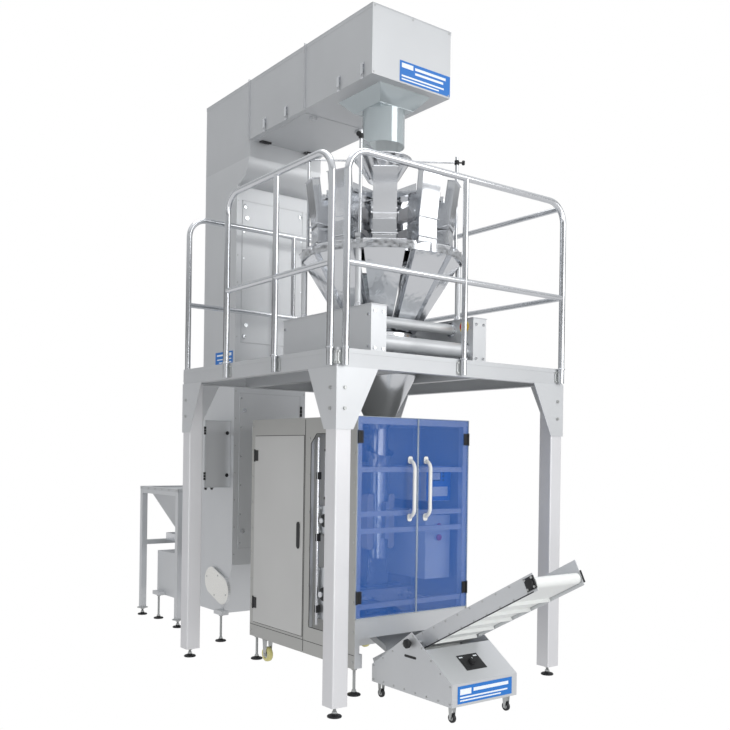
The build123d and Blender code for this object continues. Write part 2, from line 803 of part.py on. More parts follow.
# ---------------------------------------------------------------- bagger
rail_zs = (bag_bottom, bag_bottom + base_rail_height)
top_bar = (bag_top - sheet - bag_post, bag_top - sheet)
front_bar = (frame_front + door_sheet, frame_front + door_sheet + bag_post)
left_posts_x = (frame_left, frame_left + bag_post)
right_posts_x = (frame_right - bag_post, frame_right)
plates_x = ((frame_left + base_rail, frame_left + base_rail + film_plate),
            (frame_right - base_rail - film_plate, frame_right - base_rail))
jaw_rod_z = jaw_bottom + jaw_height / 2
jaw_rods_x = (axis_x - jaw_rod_spacing / 2, axis_x + jaw_rod_spacing / 2)
cylinder_back = front_bar[1] + sealer_cylinder_length
with BuildPart() as bagger:
    for span in ((frame_left, frame_left + base_rail), (frame_right - base_rail, frame_right)):
        slab(span, (front_bar[0], frame_back), rail_zs)
    for y in (bulkhead_y + sheet, frame_back - base_rail):
        slab((frame_left, frame_right), (y, y + base_rail), rail_zs)
    for span in (left_posts_x, right_posts_x):
        for y in (front_bar[0], bulkhead_y + sheet, frame_back - bag_post):
            slab(span, (y, y + bag_post), (rail_zs[1], top_bar[1]))
        slab(span, (front_bar[0], frame_back), top_bar)
    for y in (front_bar[0], bulkhead_y + sheet, frame_back - bag_post):
        slab((frame_left, frame_right), (y, y + bag_post), top_bar)
    slab((frame_left, frame_right), front_bar, (apron_bottom, door_bottom - door_gap))
    for z in cross_bars_z + (jaw_rod_z,):
        slab((frame_left, frame_right), (front_bar[1] - cross_bar, front_bar[1]),
             (z - cross_bar / 2, z + cross_bar / 2))
    for span in plates_x:
        slab(span, (film_plate_front, film_plate_back), (rail_zs[1] - base_rail / 2, film_plate_top))
        rod((span[0], film_roll_y, film_roll_z), (span[1], film_roll_y, film_roll_z),
            film_shaft + run_gap, Mode.SUBTRACT)
    rod((axis_x, front_bar[1] - cross_bar / 2, sealer_bar), (axis_x, cylinder_back, sealer_bar),
        sealer_cylinder)
    rod((axis_x, front_bar[1], sealer_bar), (axis_x, cylinder_back, sealer_bar),
        sealer_rod + run_gap, Mode.SUBTRACT)
keep("bagger_frame", bagger)

with BuildPart() as panels:
    slab((bag_left, frame_left), (bag_front, bag_back), (bag_bottom, bag_top))
    slab((bag_left, frame_left), (side_door_from, side_door_to), (side_door_bottom, side_door_top),
         Mode.SUBTRACT)
    plate_yz(((bay_from, bay_bottom), (bay_from, bay_top), (bay_to - bay_chamfer, bay_top),
              (bay_to, bay_top - bay_chamfer), (bay_to, bay_bottom)), (bag_left, frame_left), Mode.SUBTRACT)
    slab((frame_right, bag_right), (bag_front, bag_back), (bag_bottom, bag_top))
    slab((frame_left, frame_right), (frame_back, bag_back), (bag_bottom, bag_top))
    slab((frame_left, frame_right), (front_bar[0], frame_back), (top_bar[1], bag_top))
    with Locations((axis_x, axis_y, bag_top)):
        Hole(tube_funnel_radius + funnel_hole_clear, depth=sheet)
    slab((frame_left + bag_post, frame_right - bag_post), (bulkhead_y, bulkhead_y + sheet),
         (rail_zs[1], top_bar[0]))
keep("bagger_panels", panels)

side_hinge = (bag_left - hinge_radius, side_door_to + side_door_lap + hinge_radius)
with BuildPart() as side_door:
    slab((bag_left - sheet, bag_left), (side_door_from - side_door_lap, side_hinge[1]),
         (side_door_bottom - side_door_lap, side_door_top + side_door_lap))
    for z in (side_door_bottom + hinge_length, side_door_top - 2 * hinge_length):
        rod((*side_hinge, z), (*side_hinge, z + hinge_length), hinge_radius)
    pull_z = (side_door_bottom + side_door_top - side_pull_height) / 2
    pull_y = side_door_from + 2 * side_door_lap
    slab((bag_left - sheet * 2, bag_left - sheet), (pull_y, pull_y + side_pull_width),
         (pull_z, pull_z + side_pull_height))
    slab((bag_left - sheet * 2, bag_left - sheet),
         (pull_y + side_pull_border, pull_y + side_pull_width - side_pull_border),
         (pull_z + side_pull_border, pull_z + side_pull_height - side_pull_border), Mode.SUBTRACT)
keep("side_door", side_door)

door_face = (bag_front, bag_front + door_sheet)
left_hinge = (frame_left + hinge_radius, bag_front - hinge_radius)
right_hinge = (frame_right - hinge_radius, bag_front - hinge_radius)
left_span = (frame_left + fit_gap, door_seam - door_gap / 2)
right_span = (door_seam + door_gap / 2, frame_right - fit_gap)
for name, span, hinge in (("front_door_left", left_span, left_hinge),
                          ("front_door_right", right_span, right_hinge)):
    with BuildPart() as door:
        slab(span, door_face, (door_bottom, bag_top))
        for z in (door_bottom + hinge_length, bag_top - 2 * hinge_length):
            rod((*hinge, z), (*hinge, z + hinge_length), hinge_radius)
            slab((hinge[0] - hinge_radius, hinge[0] + hinge_radius), (hinge[1], bag_front),
                 (z, z + hinge_length))
    keep(name, door)

handle_x = 62
handle_low = 1010
handle_high = 1380
handle_out = 52
handle_width = 30
handle_thick = 14
handle_slope = 60             # height of each sloped end
handle_foot = 40
handle_inner = 80
for name, x in (("handle_left", door_seam - handle_x), ("handle_right", door_seam + handle_x)):
    with BuildPart() as handle:
        plate_yz(((bag_front, handle_low), (bag_front - handle_out, handle_low + handle_slope),
                  (bag_front - handle_out, handle_high - handle_slope), (bag_front, handle_high),
                  (bag_front, handle_high - handle_foot),
                  (bag_front - handle_out + handle_thick, handle_high - handle_inner),
                  (bag_front - handle_out + handle_thick, handle_low + handle_inner),
                  (bag_front, handle_low + handle_foot)),
                 (x - handle_width / 2, x + handle_width / 2))
    keep(name, handle)

with BuildPart() as forming:
    rod((axis_x, axis_y, tube_bottom), (axis_x, axis_y, tube_funnel_z), tube_radius)
    with Locations((axis_x, axis_y, tube_funnel_z)):
        Cone(tube_radius, tube_funnel_radius, bag_top - tube_funnel_z, align=up)
    slab((axis_x - tube_radius / 2, axis_x + tube_radius / 2), (axis_y + tube_radius / 2, bulkhead_y),
         (tube_bracket_z, tube_bracket_z + hanger_height))
    rod((axis_x, axis_y, tube_bottom), (axis_x, axis_y, tube_funnel_z), tube_radius - thin_sheet,
        Mode.SUBTRACT)
    with Locations((axis_x, axis_y, tube_funnel_z)):
        Cone(tube_radius - thin_sheet, tube_funnel_radius - thin_sheet, bag_top - tube_funnel_z,
             align=up, mode=Mode.SUBTRACT)
keep("forming_tube", forming)

with BuildPart() as shoulder:
    with Locations((axis_x, axis_y, collar_bottom)):
        Cone(tube_radius + collar_clear, collar_spread, collar_top - collar_bottom, align=up)
    slab((axis_x - tube_radius, axis_x + tube_radius), (axis_y + tube_radius, bulkhead_y),
         (collar_bottom, collar_bottom + hanger_height))
    with Locations((axis_x, axis_y, collar_bottom)):
        Cone(tube_radius + collar_clear - thin_sheet, collar_spread - thin_sheet, collar_top - collar_bottom,
             align=up, mode=Mode.SUBTRACT)
    plate_yz(((axis_y - collar_spread, collar_bottom + collar_cut_z), (axis_y - collar_spread, collar_top),
              (axis_y + collar_cut_y, collar_top)),
             (axis_x - collar_spread, axis_x + collar_spread), Mode.SUBTRACT)
    rod((axis_x, axis_y, collar_bottom), (axis_x, axis_y, collar_top), tube_radius + collar_bore_clear,
        Mode.SUBTRACT)
keep("forming_collar", shoulder)

belt_mid_z = belt_unit_bottom + belt_unit_height / 2
for name, side in (("pull_belt_left", -1), ("pull_belt_right", 1)):
    near = axis_x + side * (tube_radius + belt_clear)
    far = near + side * belt_unit_thick
    with BuildPart() as unit:
        slab((min(near, far), max(near, far)), (axis_y - belt_unit_depth / 2, axis_y + belt_unit_depth / 2),
             (belt_unit_bottom, belt_unit_bottom + belt_unit_height))
        fillet(unit.edges().filter_by(Axis.Y), belt_unit_bend)
        slab((min(near, far) + belt_carriage_inset, max(near, far) - belt_carriage_inset),
             (axis_y + belt_unit_depth / 2, bulkhead_y - fit_gap),
             (belt_mid_z - carriage_height / 2, belt_mid_z + carriage_height / 2))
    keep(name, unit)

sealer_back = axis_y - tube_radius - sealer_clear
with BuildPart() as sealer:
    slab((axis_x - sealer_width / 2, axis_x + sealer_width / 2), (sealer_back - sealer_depth, sealer_back),
         (sealer_bottom, sealer_bottom + sealer_height))
    rod((axis_x, cylinder_back - sealer_cylinder_length + sealer_travel * 2, sealer_bar),
        (axis_x, sealer_back - sealer_depth, sealer_bar), sealer_rod)
keep("vertical_sealer", sealer)

jaw_x = (axis_x - jaw_width / 2, axis_x + jaw_width / 2)
jaw_z = (jaw_bottom, jaw_bottom + jaw_height)
front_jaw_y = (axis_y - jaw_gap / 2 - jaw_depth, axis_y - jaw_gap / 2)
rear_jaw_y = (axis_y + jaw_gap / 2, axis_y + jaw_gap / 2 + jaw_depth)
knife_y = (front_jaw_y[0] + knife_back, front_jaw_y[0] + knife_back + knife_depth)
slot_z = (jaw_rod_z - knife_slot / 2, jaw_rod_z + knife_slot / 2)
slot_x = (axis_x - knife_width / 2 - fit_gap, axis_x + knife_width / 2 + fit_gap)
for name, span, slot in (("front_jaw", front_jaw_y, (knife_y[0] - fit_gap, front_jaw_y[1])),
                         ("rear_jaw", rear_jaw_y, (rear_jaw_y[0], rear_jaw_y[0] + knife_travel))):
    with BuildPart() as jaw:
        slab(jaw_x, span, jaw_z)
        slab(slot_x, slot, slot_z, Mode.SUBTRACT)
        for x in jaw_rods_x:
            rod((x, span[0], jaw_rod_z), (x, span[1], jaw_rod_z), jaw_rod_radius + run_gap, Mode.SUBTRACT)
    keep(name, jaw)

with BuildPart() as knife:
    slab((axis_x - knife_width / 2, axis_x + knife_width / 2), knife_y,
         (jaw_rod_z - knife_sheet / 2, jaw_rod_z + knife_sheet / 2))
keep("knife", knife)

with BuildPart() as jaw_rods:
    for x in jaw_rods_x:
        rod((x, front_bar[1], jaw_rod_z), (x, bulkhead_y, jaw_rod_z), jaw_rod_radius)
keep("jaw_rods", jaw_rods)

with BuildPart() as film_roll:
    rod((plates_x[0][0], film_roll_y, film_roll_z), (plates_x[1][1], film_roll_y, film_roll_z), film_shaft)
    rod((axis_x - film_roll_width / 2, film_roll_y, film_roll_z),
        (axis_x + film_roll_width / 2, film_roll_y, film_roll_z), film_roll_radius)
    for side in (-1, 1):
        end = axis_x + side * film_roll_width / 2
        rod((end, film_roll_y, film_roll_z), (end + side * film_core, film_roll_y, film_roll_z), film_core)
keep("film_roll", film_roll)

with BuildPart() as rollers:
    for y, z in film_roller_places:
        rod((plates_x[0][1], y, z), (plates_x[1][0], y, z), film_roller)
keep("film_rollers", rollers)

dancer_in = (plates_x[0][1] + fit_gap, plates_x[1][0] - fit_gap)
with BuildPart() as dancer:
    rod((dancer_in[0], dancer_y, dancer_z), (dancer_in[1], dancer_y, dancer_z), dancer_shaft)
    for start in (dancer_in[0] + dancer_arm_gap, dancer_in[1] - dancer_arm_gap - dancer_arm_sheet):
        slab((start, start + dancer_arm_sheet), (dancer_y - dancer_shaft, dancer_y + dancer_length),
             (dancer_z - dancer_shaft / 2, dancer_z + dancer_shaft / 2))
    rod((dancer_in[0] + dancer_arm_gap, dancer_y + dancer_length, dancer_z),
        (dancer_in[1] - dancer_arm_gap, dancer_y + dancer_length, dancer_z), dancer_roller)
keep("dancer_arm", dancer)

cabinet_x = (frame_right - bag_post - cabinet_width, frame_right - bag_post)
with BuildPart() as cabinet:
    for span in (cabinet_low, cabinet_high):
        slab(cabinet_x, (cabinet_front, bulkhead_y), span)
        slab((cabinet_x[0] + sheet, cabinet_x[1] - sheet), (cabinet_front + sheet, bulkhead_y),
             (span[0] + sheet, span[1] - sheet), Mode.SUBTRACT)
    for z in button_heights:
        rod((button_x, cabinet_front - button_ring, z), (button_x, cabinet_front + sheet / 2, z),
            button_head + button_collar)
        rod((button_x, cabinet_front - button_ring, z), (button_x, cabinet_front + sheet, z),
            button_stem + fit_gap, Mode.SUBTRACT)
keep("electrical_cabinet", cabinet)

for name, z in zip(("stop_button", "start_button"), button_heights):
    mushroom((button_x, cabinet_front - button_ring, z), (0, 1, 0), name)

slide_line = Vector(0, slide_front_y - bulkhead_y, slide_front_z - slide_back_z)
slide_plane = Plane(origin=(axis_x, bulkhead_y, slide_back_z), x_dir=(1, 0, 0),
                    z_dir=Vector(1, 0, 0).cross(slide_line.normalized()) * -1)
with BuildPart() as slide:
    with Locations(slide_plane):
        with Locations((0, -slide_line.length / 2, 0)):
            Box(slide_width, slide_line.length, slide_side, align=up)
        with Locations((0, -slide_line.length / 2, thin_sheet)):
            Box(slide_width - 2 * thin_sheet, slide_line.length, slide_side, align=up, mode=Mode.SUBTRACT)
    slab((axis_x - slide_width, axis_x + slide_width), (bulkhead_y, bulkhead_y + slide_side),
         (slide_back_z - slide_side, slide_back_z + 2 * slide_side), Mode.SUBTRACT)
keep("discharge_slide", slide)


with BuildPart() as bag_castors:
    for x, y in bag_feet:
        inward = castor_inset if y < axis_y else -castor_inset
        castor(x, y + inward, bag_bottom, castor_radius, castor_width, castor_lift)
keep("bagger_castors", bag_castors)

# ---------------------------------------------------------------- elevator
elev_x = (elev_left, elev_right)
elev_in = (elev_left + sheet, elev_right - sheet)
column_in = (column_front + sheet, column_back - sheet)
with BuildPart() as column:
    slab(elev_x, (column_front, column_back), (column_bottom, column_top))
    with BuildSketch(Plane(origin=(elev_left, 0, 0), x_dir=(0, 1, 0), z_dir=(1, 0, 0))) as quarter:
        with Locations((column_front, column_top)):
            Circle(cover_reach)
        with Locations((column_front - cover_reach / 2, column_top - cover_reach / 2)):
            Rectangle(cover_reach, cover_reach, mode=Mode.INTERSECT)
    extrude(quarter.sketch, amount=elev_width)
    slab(elev_in, column_in, (column_bottom, column_top), Mode.SUBTRACT)
    for span in (upper_panel, lower_door):
        slab((elev_left + panel_side + door_rebate, elev_right - panel_side - door_rebate),
             (column_front, column_in[0]), (span[0] + door_rebate, span[1] - door_rebate), Mode.SUBTRACT)
keep("elevator_column", column)

step_front = column_front - cover_reach
with BuildPart() as arm:
    slab(elev_x, (arm_front, column_back), (arm_bottom, arm_top))
    slab(elev_x, (step_front, column_back), (column_top, arm_bottom))
    slab(elev_in, (arm_front + sheet, column_back - sheet), (arm_bottom + sheet, arm_top - sheet),
         Mode.SUBTRACT)
    slab(elev_in, column_in, (column_top, arm_bottom + sheet), Mode.SUBTRACT)
    slab((axis_x - spout_x / 2 + sheet, axis_x + spout_x / 2 - sheet),
         (axis_y - spout_y / 2 + sheet, axis_y + spout_y / 2 - sheet),
         (arm_bottom, arm_bottom + sheet), Mode.SUBTRACT)
    slab((elev_left + 2 * hatch_side, elev_right - 2 * hatch_side),
         (hatch_front + hatch_side, hatch_back - hatch_side), (arm_bottom, arm_bottom + sheet), Mode.SUBTRACT)
    rod((elev_in[0], column_front + column_depth / 2, (arm_bottom + arm_top) / 2),
        (elev_in[1], column_front + column_depth / 2, (arm_bottom + arm_top) / 2), head_shaft)
keep("elevator_arm", arm)

spout_top = (arm_bottom, spout_x, spout_y)
with BuildPart() as spout:
    frustum(spout_z, 2 * collar_radius, 2 * collar_radius, *spout_top, (axis_x, axis_y))
    frustum(spout_z, 2 * (collar_radius - thin_sheet), 2 * (collar_radius - thin_sheet), arm_bottom,
            spout_x - 2 * thin_sheet, spout_y - 2 * thin_sheet, (axis_x, axis_y), Mode.SUBTRACT)
    with BuildSketch(Plane.XY.offset(spout_z - thin_sheet)):
        with Locations((axis_x, axis_y)):
            Rectangle(2 * collar_radius, 2 * collar_radius)
            Circle(collar_radius - thin_sheet, mode=Mode.SUBTRACT)
    extrude(amount=thin_sheet)
    with BuildSketch(Plane.XY.offset(collar_end)):
        with Locations((axis_x, axis_y)):
            Circle(collar_radius)
            Circle(collar_radius - thin_sheet, mode=Mode.SUBTRACT)
    extrude(amount=spout_z - thin_sheet - collar_end)
keep("discharge_collar", spout)

panel_x = (elev_left + panel_side, elev_right - panel_side)
with BuildPart() as upper:
    slab(panel_x, (column_front - sheet, column_front), upper_panel)
    lock_z = upper_panel[0] + panel_side
    rod((panel_x[0] + panel_side, column_front - sheet, lock_z),
        (panel_x[0] + panel_side, column_front - 3 * sheet, lock_z), hinge_radius * 3)
keep("upper_service_panel", upper)

column_hinge = (panel_x[1] + hinge_radius, column_front - hinge_radius)
with BuildPart() as lower:
    slab((panel_x[0], column_hinge[0]), (column_front - sheet, column_front), lower_door)
    for z in (lower_door[0] + hinge_length, lower_door[1] - 2 * hinge_length):
        rod((*column_hinge, z), (*column_hinge, z + hinge_length), hinge_radius)
keep("lower_column_door", lower)

hatch_x = (elev_left + hatch_side, elev_right - hatch_side)
hatch_hinge = (hatch_back + hinge_radius, arm_bottom - hinge_radius)
with BuildPart() as hatch:
    slab(hatch_x, (hatch_front, hatch_hinge[0]), (arm_bottom - sheet, arm_bottom))
    for x in (hatch_x[0] + hinge_length / 2, hatch_x[1] - 1.5 * hinge_length):
        rod((x, *hatch_hinge), (x + hinge_length, *hatch_hinge), hinge_radius)
    for x in (hatch_x[0] + hinge_length, hatch_x[1] - hinge_length):
        slab((x - latch_width / 2, x + latch_width / 2),
             (hatch_front + latch_inset, hatch_front + latch_inset + latch_length),
             (arm_bottom - latch_height, arm_bottom - sheet))
keep("arm_hatch", hatch)

box_x = (elev_left - box_width, elev_left)
box_z = (box_bottom, box_bottom + box_height)
with BuildPart() as control:
    slab(box_x, (box_front, box_front + box_depth), box_z)
    slab((box_x[0] + sheet, box_x[1] - sheet), (box_front, box_front + box_depth - sheet),
         (box_z[0] + sheet, box_z[1] - sheet), Mode.SUBTRACT)
keep("control_box", control)

box_hinge = (box_x[0] - hinge_radius, box_front - hinge_radius)
with BuildPart() as box_door:
    slab((box_hinge[0], box_x[1] - fit_gap), (box_front - sheet, box_front), box_z)
    for z in (box_z[0] + hinge_length / 2, box_z[1] - 1.5 * hinge_length):
        rod((*box_hinge, z), (*box_hinge, z + hinge_length), hinge_radius)
keep("control_box_door", box_door)

boot_outline = ((column_front, column_bottom), (column_front + boot_nose, boot_bottom),
                (boot_back, boot_bottom), (boot_back, boot_rear_top), (column_back, column_bottom))
inner_outline = ((column_front + 2 * sheet, column_bottom),
                 (column_front + boot_nose + 2 * sheet, boot_bottom + sheet),
                 (boot_back - sheet, boot_bottom + sheet), (boot_back - sheet, boot_rear_top - sheet),
                 (column_back - sheet, column_bottom - sheet), (column_back - sheet, column_bottom))
with BuildPart() as boot:
    plate_yz(boot_outline, elev_x)
    plate_yz(inner_outline, elev_in, Mode.SUBTRACT)
    slab((axis_x - tray_width / 2 - boot_mouth_clear, axis_x + tray_width / 2 + boot_mouth_clear), boot_mouth,
         (boot_rear_top - 2 * sheet, column_bottom), Mode.SUBTRACT)
    with BuildSketch(Plane(origin=(elev_left - guard_thick, guard_y, guard_z), x_dir=(0, 1, guard_slope),
                           z_dir=(1, 0, 0))) as stadium:
        SlotCenterToCenter(guard_length, 2 * guard_radius)
    extrude(stadium.sketch, amount=guard_thick)
    for y in outriggers_y:
        for x in ((elev_left - outrigger_reach, elev_left), (elev_right, elev_right + outrigger_reach)):
            slab(x, (y - outrigger_size / 2, y + outrigger_size / 2),
                 (boot_bottom, boot_bottom + outrigger_sheet))
keep("elevator_boot", boot)

chain_mid_y = column_front + column_depth / 2
head_z = (arm_bottom + arm_top) / 2
chain_top_z = head_z + chain_rise
run_front = chain_mid_y - bucket_depth
chain_low = column_bottom - chain_drop
with BuildPart() as chain:
    for x in (axis_x - bucket_width / 2 - chain_bar, axis_x + bucket_width / 2):
        for y in (run_front - chain_bar, chain_mid_y + bucket_depth):
            slab((x, x + chain_bar), (y, y + 2 * chain_bar), (chain_low, chain_top_z))
        slab((x, x + chain_bar), (axis_y, chain_mid_y + bucket_depth),
             (chain_top_z - chain_bar, chain_top_z + chain_bar))
        slab((x, x + chain_bar), (run_front - chain_bar, chain_mid_y + bucket_depth + chain_bar),
             (chain_low, chain_low + chain_bar * 2))
        slab((x, x + chain_bar), (run_front, chain_mid_y + bucket_depth),
             (head_z + head_shaft, head_z + head_shaft + chain_bar))
    upward = int((column_top - column_bottom) / bucket_pitch)
    for step in range(upward):
        z = column_bottom + bucket_first + bucket_pitch * step
        slab((axis_x - bucket_width / 2, axis_x + bucket_width / 2), (run_front, run_front + bucket_depth),
             (z, z + bucket_height))
        slab((axis_x - bucket_width / 2 + thin_sheet, axis_x + bucket_width / 2 - thin_sheet),
             (run_front + thin_sheet, run_front + bucket_depth - thin_sheet),
             (z + thin_sheet, z + bucket_height), Mode.SUBTRACT)
keep("bucket_chain", chain)

# ---------------------------------------------------------------- feeder
feeder_x = (feeder_left, feeder_right)
feeder_y = (feeder_front, feeder_back)
feeder_mid = ((feeder_left + feeder_right) / 2, (feeder_front + feeder_back) / 2)
mouth_x = feeder_width - 2 * (feeder_post + feeder_wall_gap)
mouth_y = feeder_depth - 2 * (feeder_post + feeder_wall_gap)
tray_x = (axis_x - tray_width / 2, axis_x + tray_width / 2)
with BuildPart() as stand:
    for x in (feeder_left, feeder_right - feeder_post):
        for y in (feeder_front, feeder_back - feeder_post):
            slab((x, x + feeder_post), (y, y + feeder_post), (platform_foot, feeder_ring_top - feeder_post))
    slab(feeder_x, feeder_y, (feeder_ring_top - feeder_post, feeder_ring_top))
    slab((feeder_left + feeder_post, feeder_right - feeder_post),
         (feeder_front + feeder_post, feeder_back - feeder_post),
         (feeder_ring_top - feeder_post, feeder_ring_top), Mode.SUBTRACT)
    for y in (feeder_front, feeder_back - feeder_post):
        slab(feeder_x, (y, y + feeder_post), (tray_bottom - fit_gap - tray_rail, tray_bottom - fit_gap))
keep("feeder_frame", stand)

with BuildPart() as hopper:
    frustum(feeder_outlet_z, feeder_outlet, feeder_outlet, feeder_ring_top, mouth_x, mouth_y, feeder_mid)
    slab((feeder_left + feeder_wall_gap, feeder_right - feeder_wall_gap),
         (feeder_front + feeder_wall_gap, feeder_back - feeder_wall_gap),
         (feeder_ring_top, feeder_ring_top + feeder_rim))
    frustum(feeder_outlet_z, feeder_outlet - 2 * sheet, feeder_outlet - 2 * sheet,
            feeder_ring_top, mouth_x - 2 * sheet, mouth_y - 2 * sheet, feeder_mid, Mode.SUBTRACT)
    frustum(feeder_ring_top, mouth_x - 2 * sheet, mouth_y - 2 * sheet, feeder_ring_top + feeder_rim,
            mouth_x - 2 * sheet, mouth_y - 2 * sheet, feeder_mid, Mode.SUBTRACT)
keep("feeder_hopper", hopper)

with BuildPart() as tray:
    slab(tray_x, (tray_front, tray_back), (tray_bottom, tray_bottom + tray_side))
    slab((tray_x[0] + sheet, tray_x[1] - sheet), (tray_front, tray_back - sheet),
         (tray_bottom + sheet, tray_bottom + tray_side), Mode.SUBTRACT)
keep("feeder_tray", tray)

# ---------------------------------------------------------------- take-off conveyor
take_outline = ((take_front, take_bottom), (take_front, take_bottom + take_front_height),
                (take_apex_y, take_apex_z), (take_back, take_bottom + take_back_height),
                (take_back, take_bottom))
slope_run = Vector(0, take_apex_y - take_front, take_apex_z - take_bottom - take_front_height).normalized()
slope_out = Vector(1, 0, 0).cross(slope_run)
if slope_out.Z < 0:
    slope_out = slope_out * -1
slope_reach = (control_top_y - take_front) / slope_run.Y
control_low = Vector(take_x, take_front, take_bottom + take_front_height)
knob_place = control_low + slope_run * (slope_reach / 2)
pivot = belt_start + belt_along * take_pivot_at
take_in = (take_left + sheet, take_right - sheet)
with BuildPart() as take_base:
    for x in (take_left, take_right - sheet):
        plate_yz(take_outline, (x, x + sheet))
        rod((x, pivot.Y, pivot.Z), (x + sheet, pivot.Y, pivot.Z), take_pivot_radius + run_gap, Mode.SUBTRACT)
    slab(take_in, (take_front, take_back), (take_bottom, take_bottom + sheet))
    slab(take_in, (take_front, take_front + sheet), (take_bottom, take_bottom + take_front_height))
    slab(take_in, (take_back - sheet, take_back), (take_bottom, take_bottom + take_back_height / 3))
    control_end = control_low + slope_run * slope_reach
    under = slope_out * -sheet
    plate_yz(((control_low.Y, control_low.Z), (control_end.Y, control_end.Z),
              (control_end.Y + under.Y, control_end.Z + under.Z),
              (control_low.Y + sheet, control_low.Z - sheet)), take_in)
    with Locations(Plane(origin=knob_place, x_dir=(1, 0, 0), z_dir=slope_out)):
        Cylinder(knob_shaft + run_gap, 4 * sheet, mode=Mode.SUBTRACT)
keep("takeaway_base", take_base)

with BuildPart() as knob:
    with Locations(Plane(origin=knob_place + slope_out * fit_gap, x_dir=(1, 0, 0), z_dir=slope_out)):
        Cylinder(knob_radius, knob_height, align=up)
        Cylinder(knob_shaft, 4 * sheet, align=(Align.CENTER, Align.CENTER, Align.MAX))
    with Locations(Plane(origin=knob_place + slope_out * (knob_height + fit_gap), x_dir=(1, 0, 0),
                         z_dir=slope_out)):
        Box(knob_rib, knob_radius * 2, knob_rib)
keep("speed_knob", knob)

frame_half = belt_width / 2 + take_rail_gap
frame_x = (take_x - frame_half - sheet, take_x + frame_half + sheet)


def on_belt(along, across, x):
    """Point beside the belt's centre line: along it, square to it and at an X."""
    point = belt_start + belt_along * along
    square = Vector(0, -belt_along.Z, belt_along.Y)
    if square.Z < 0:
        square = square * -1
    return (x, point.Y + square.Y * across, point.Z + square.Z * across)


def rail_outline(low, high, start, end):
    """YZ corners of a strip that runs beside the belt."""
    return [on_belt(along, across, 0)[1:] for along, across in
            ((start, low), (end, low), (end, high), (start, high))]


roller_radius = belt_radius - belt_sheet - fit_gap
with BuildPart() as take_frame:
    for x in (frame_x[0], frame_x[1] - sheet):
        plate_yz(rail_outline(-take_rail_depth / 2, take_rail_depth / 2, -belt_radius,
                              belt_length + belt_radius), (x, x + sheet))
        for along in (0, belt_length):
            rod(on_belt(along, 0, x), on_belt(along, 0, x + sheet), take_shaft + run_gap, Mode.SUBTRACT)
    plate_yz(rail_outline(take_rail_depth / 2, take_rail_depth / 2 + guard_plate, belt_length / 2,
                          belt_length + belt_radius), (frame_x[1] - sheet, frame_x[1]))
    for along in belt_bars_at + (belt_length - belt_bar_from_top,):
        plate_yz(rail_outline(-belt_bar_height / 2, belt_bar_height / 2, along, along + belt_bar_length),
                 frame_x)
    rod((take_in[0] - sheet, pivot.Y, pivot.Z), (take_in[1] + sheet, pivot.Y, pivot.Z), take_pivot_radius)
    rod(on_belt(0, 0, take_x - belt_width / 2), on_belt(0, 0, take_x + belt_width / 2), roller_radius)
    rod(on_belt(0, 0, frame_x[0]), on_belt(0, 0, frame_x[1]), take_shaft)
keep("takeaway_frame", take_frame)

cleats = int((belt_length - cleat_pitch / 2) / cleat_pitch)
with BuildPart() as belt:
    with BuildSketch(Plane(origin=(take_x - belt_width / 2, belt_low[0], belt_low[1]),
                           x_dir=belt_along, z_dir=(1, 0, 0))):
        with Locations((belt_length / 2, 0)):
            SlotCenterToCenter(belt_length, 2 * belt_radius)
            SlotCenterToCenter(belt_length, 2 * (belt_radius - belt_sheet), mode=Mode.SUBTRACT)
    extrude(amount=belt_width)
    for index in range(cleats):
        start = cleat_pitch * (index + 0.5)
        for low, high in ((belt_radius - cleat_root, belt_radius + cleat_height),
                          (-belt_radius - cleat_height, cleat_root - belt_radius)):
            plate_yz(rail_outline(low, high, start, start + cleat_sheet),
                     (take_x - belt_width / 2, take_x + belt_width / 2))
keep("takeaway_belt", belt)

with BuildPart() as roller:
    rod(on_belt(belt_length, 0, take_x - belt_width / 2), on_belt(belt_length, 0, take_x + belt_width / 2),
        roller_radius)
    rod(on_belt(belt_length, 0, frame_x[0]), on_belt(belt_length, 0, frame_x[1] + stub_length), take_shaft)
keep("drive_roller", roller)

with BuildPart() as small_castors:
    for x in (take_left + small_castor_inset, take_right - small_castor_inset):
        for y in (take_front + small_castor_inset, take_back - small_castor_inset):
            castor(x, y, take_bottom, small_castor, small_castor_width, 0)
keep("takeaway_castors", small_castors)

# ---------------------------------------------------------------- origin: middle of the whole object's base
whole = Compound(children=[piece.moved(Location()) for piece in nodes.values()]).bounding_box()
shift = Location((-(whole.min.X + whole.max.X) / 2, -(whole.min.Y + whole.max.Y) / 2, -whole.min.Z))
for name, piece in nodes.items():
    placed = piece.moved(shift)
    placed.label = name
    export_step(placed, f"parts/{name}.step")
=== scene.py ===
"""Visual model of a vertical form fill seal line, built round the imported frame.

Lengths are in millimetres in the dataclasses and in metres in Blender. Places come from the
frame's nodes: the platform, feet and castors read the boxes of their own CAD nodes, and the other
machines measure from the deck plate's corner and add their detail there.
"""
import logging
import math
from dataclasses import dataclass
from enum import Enum

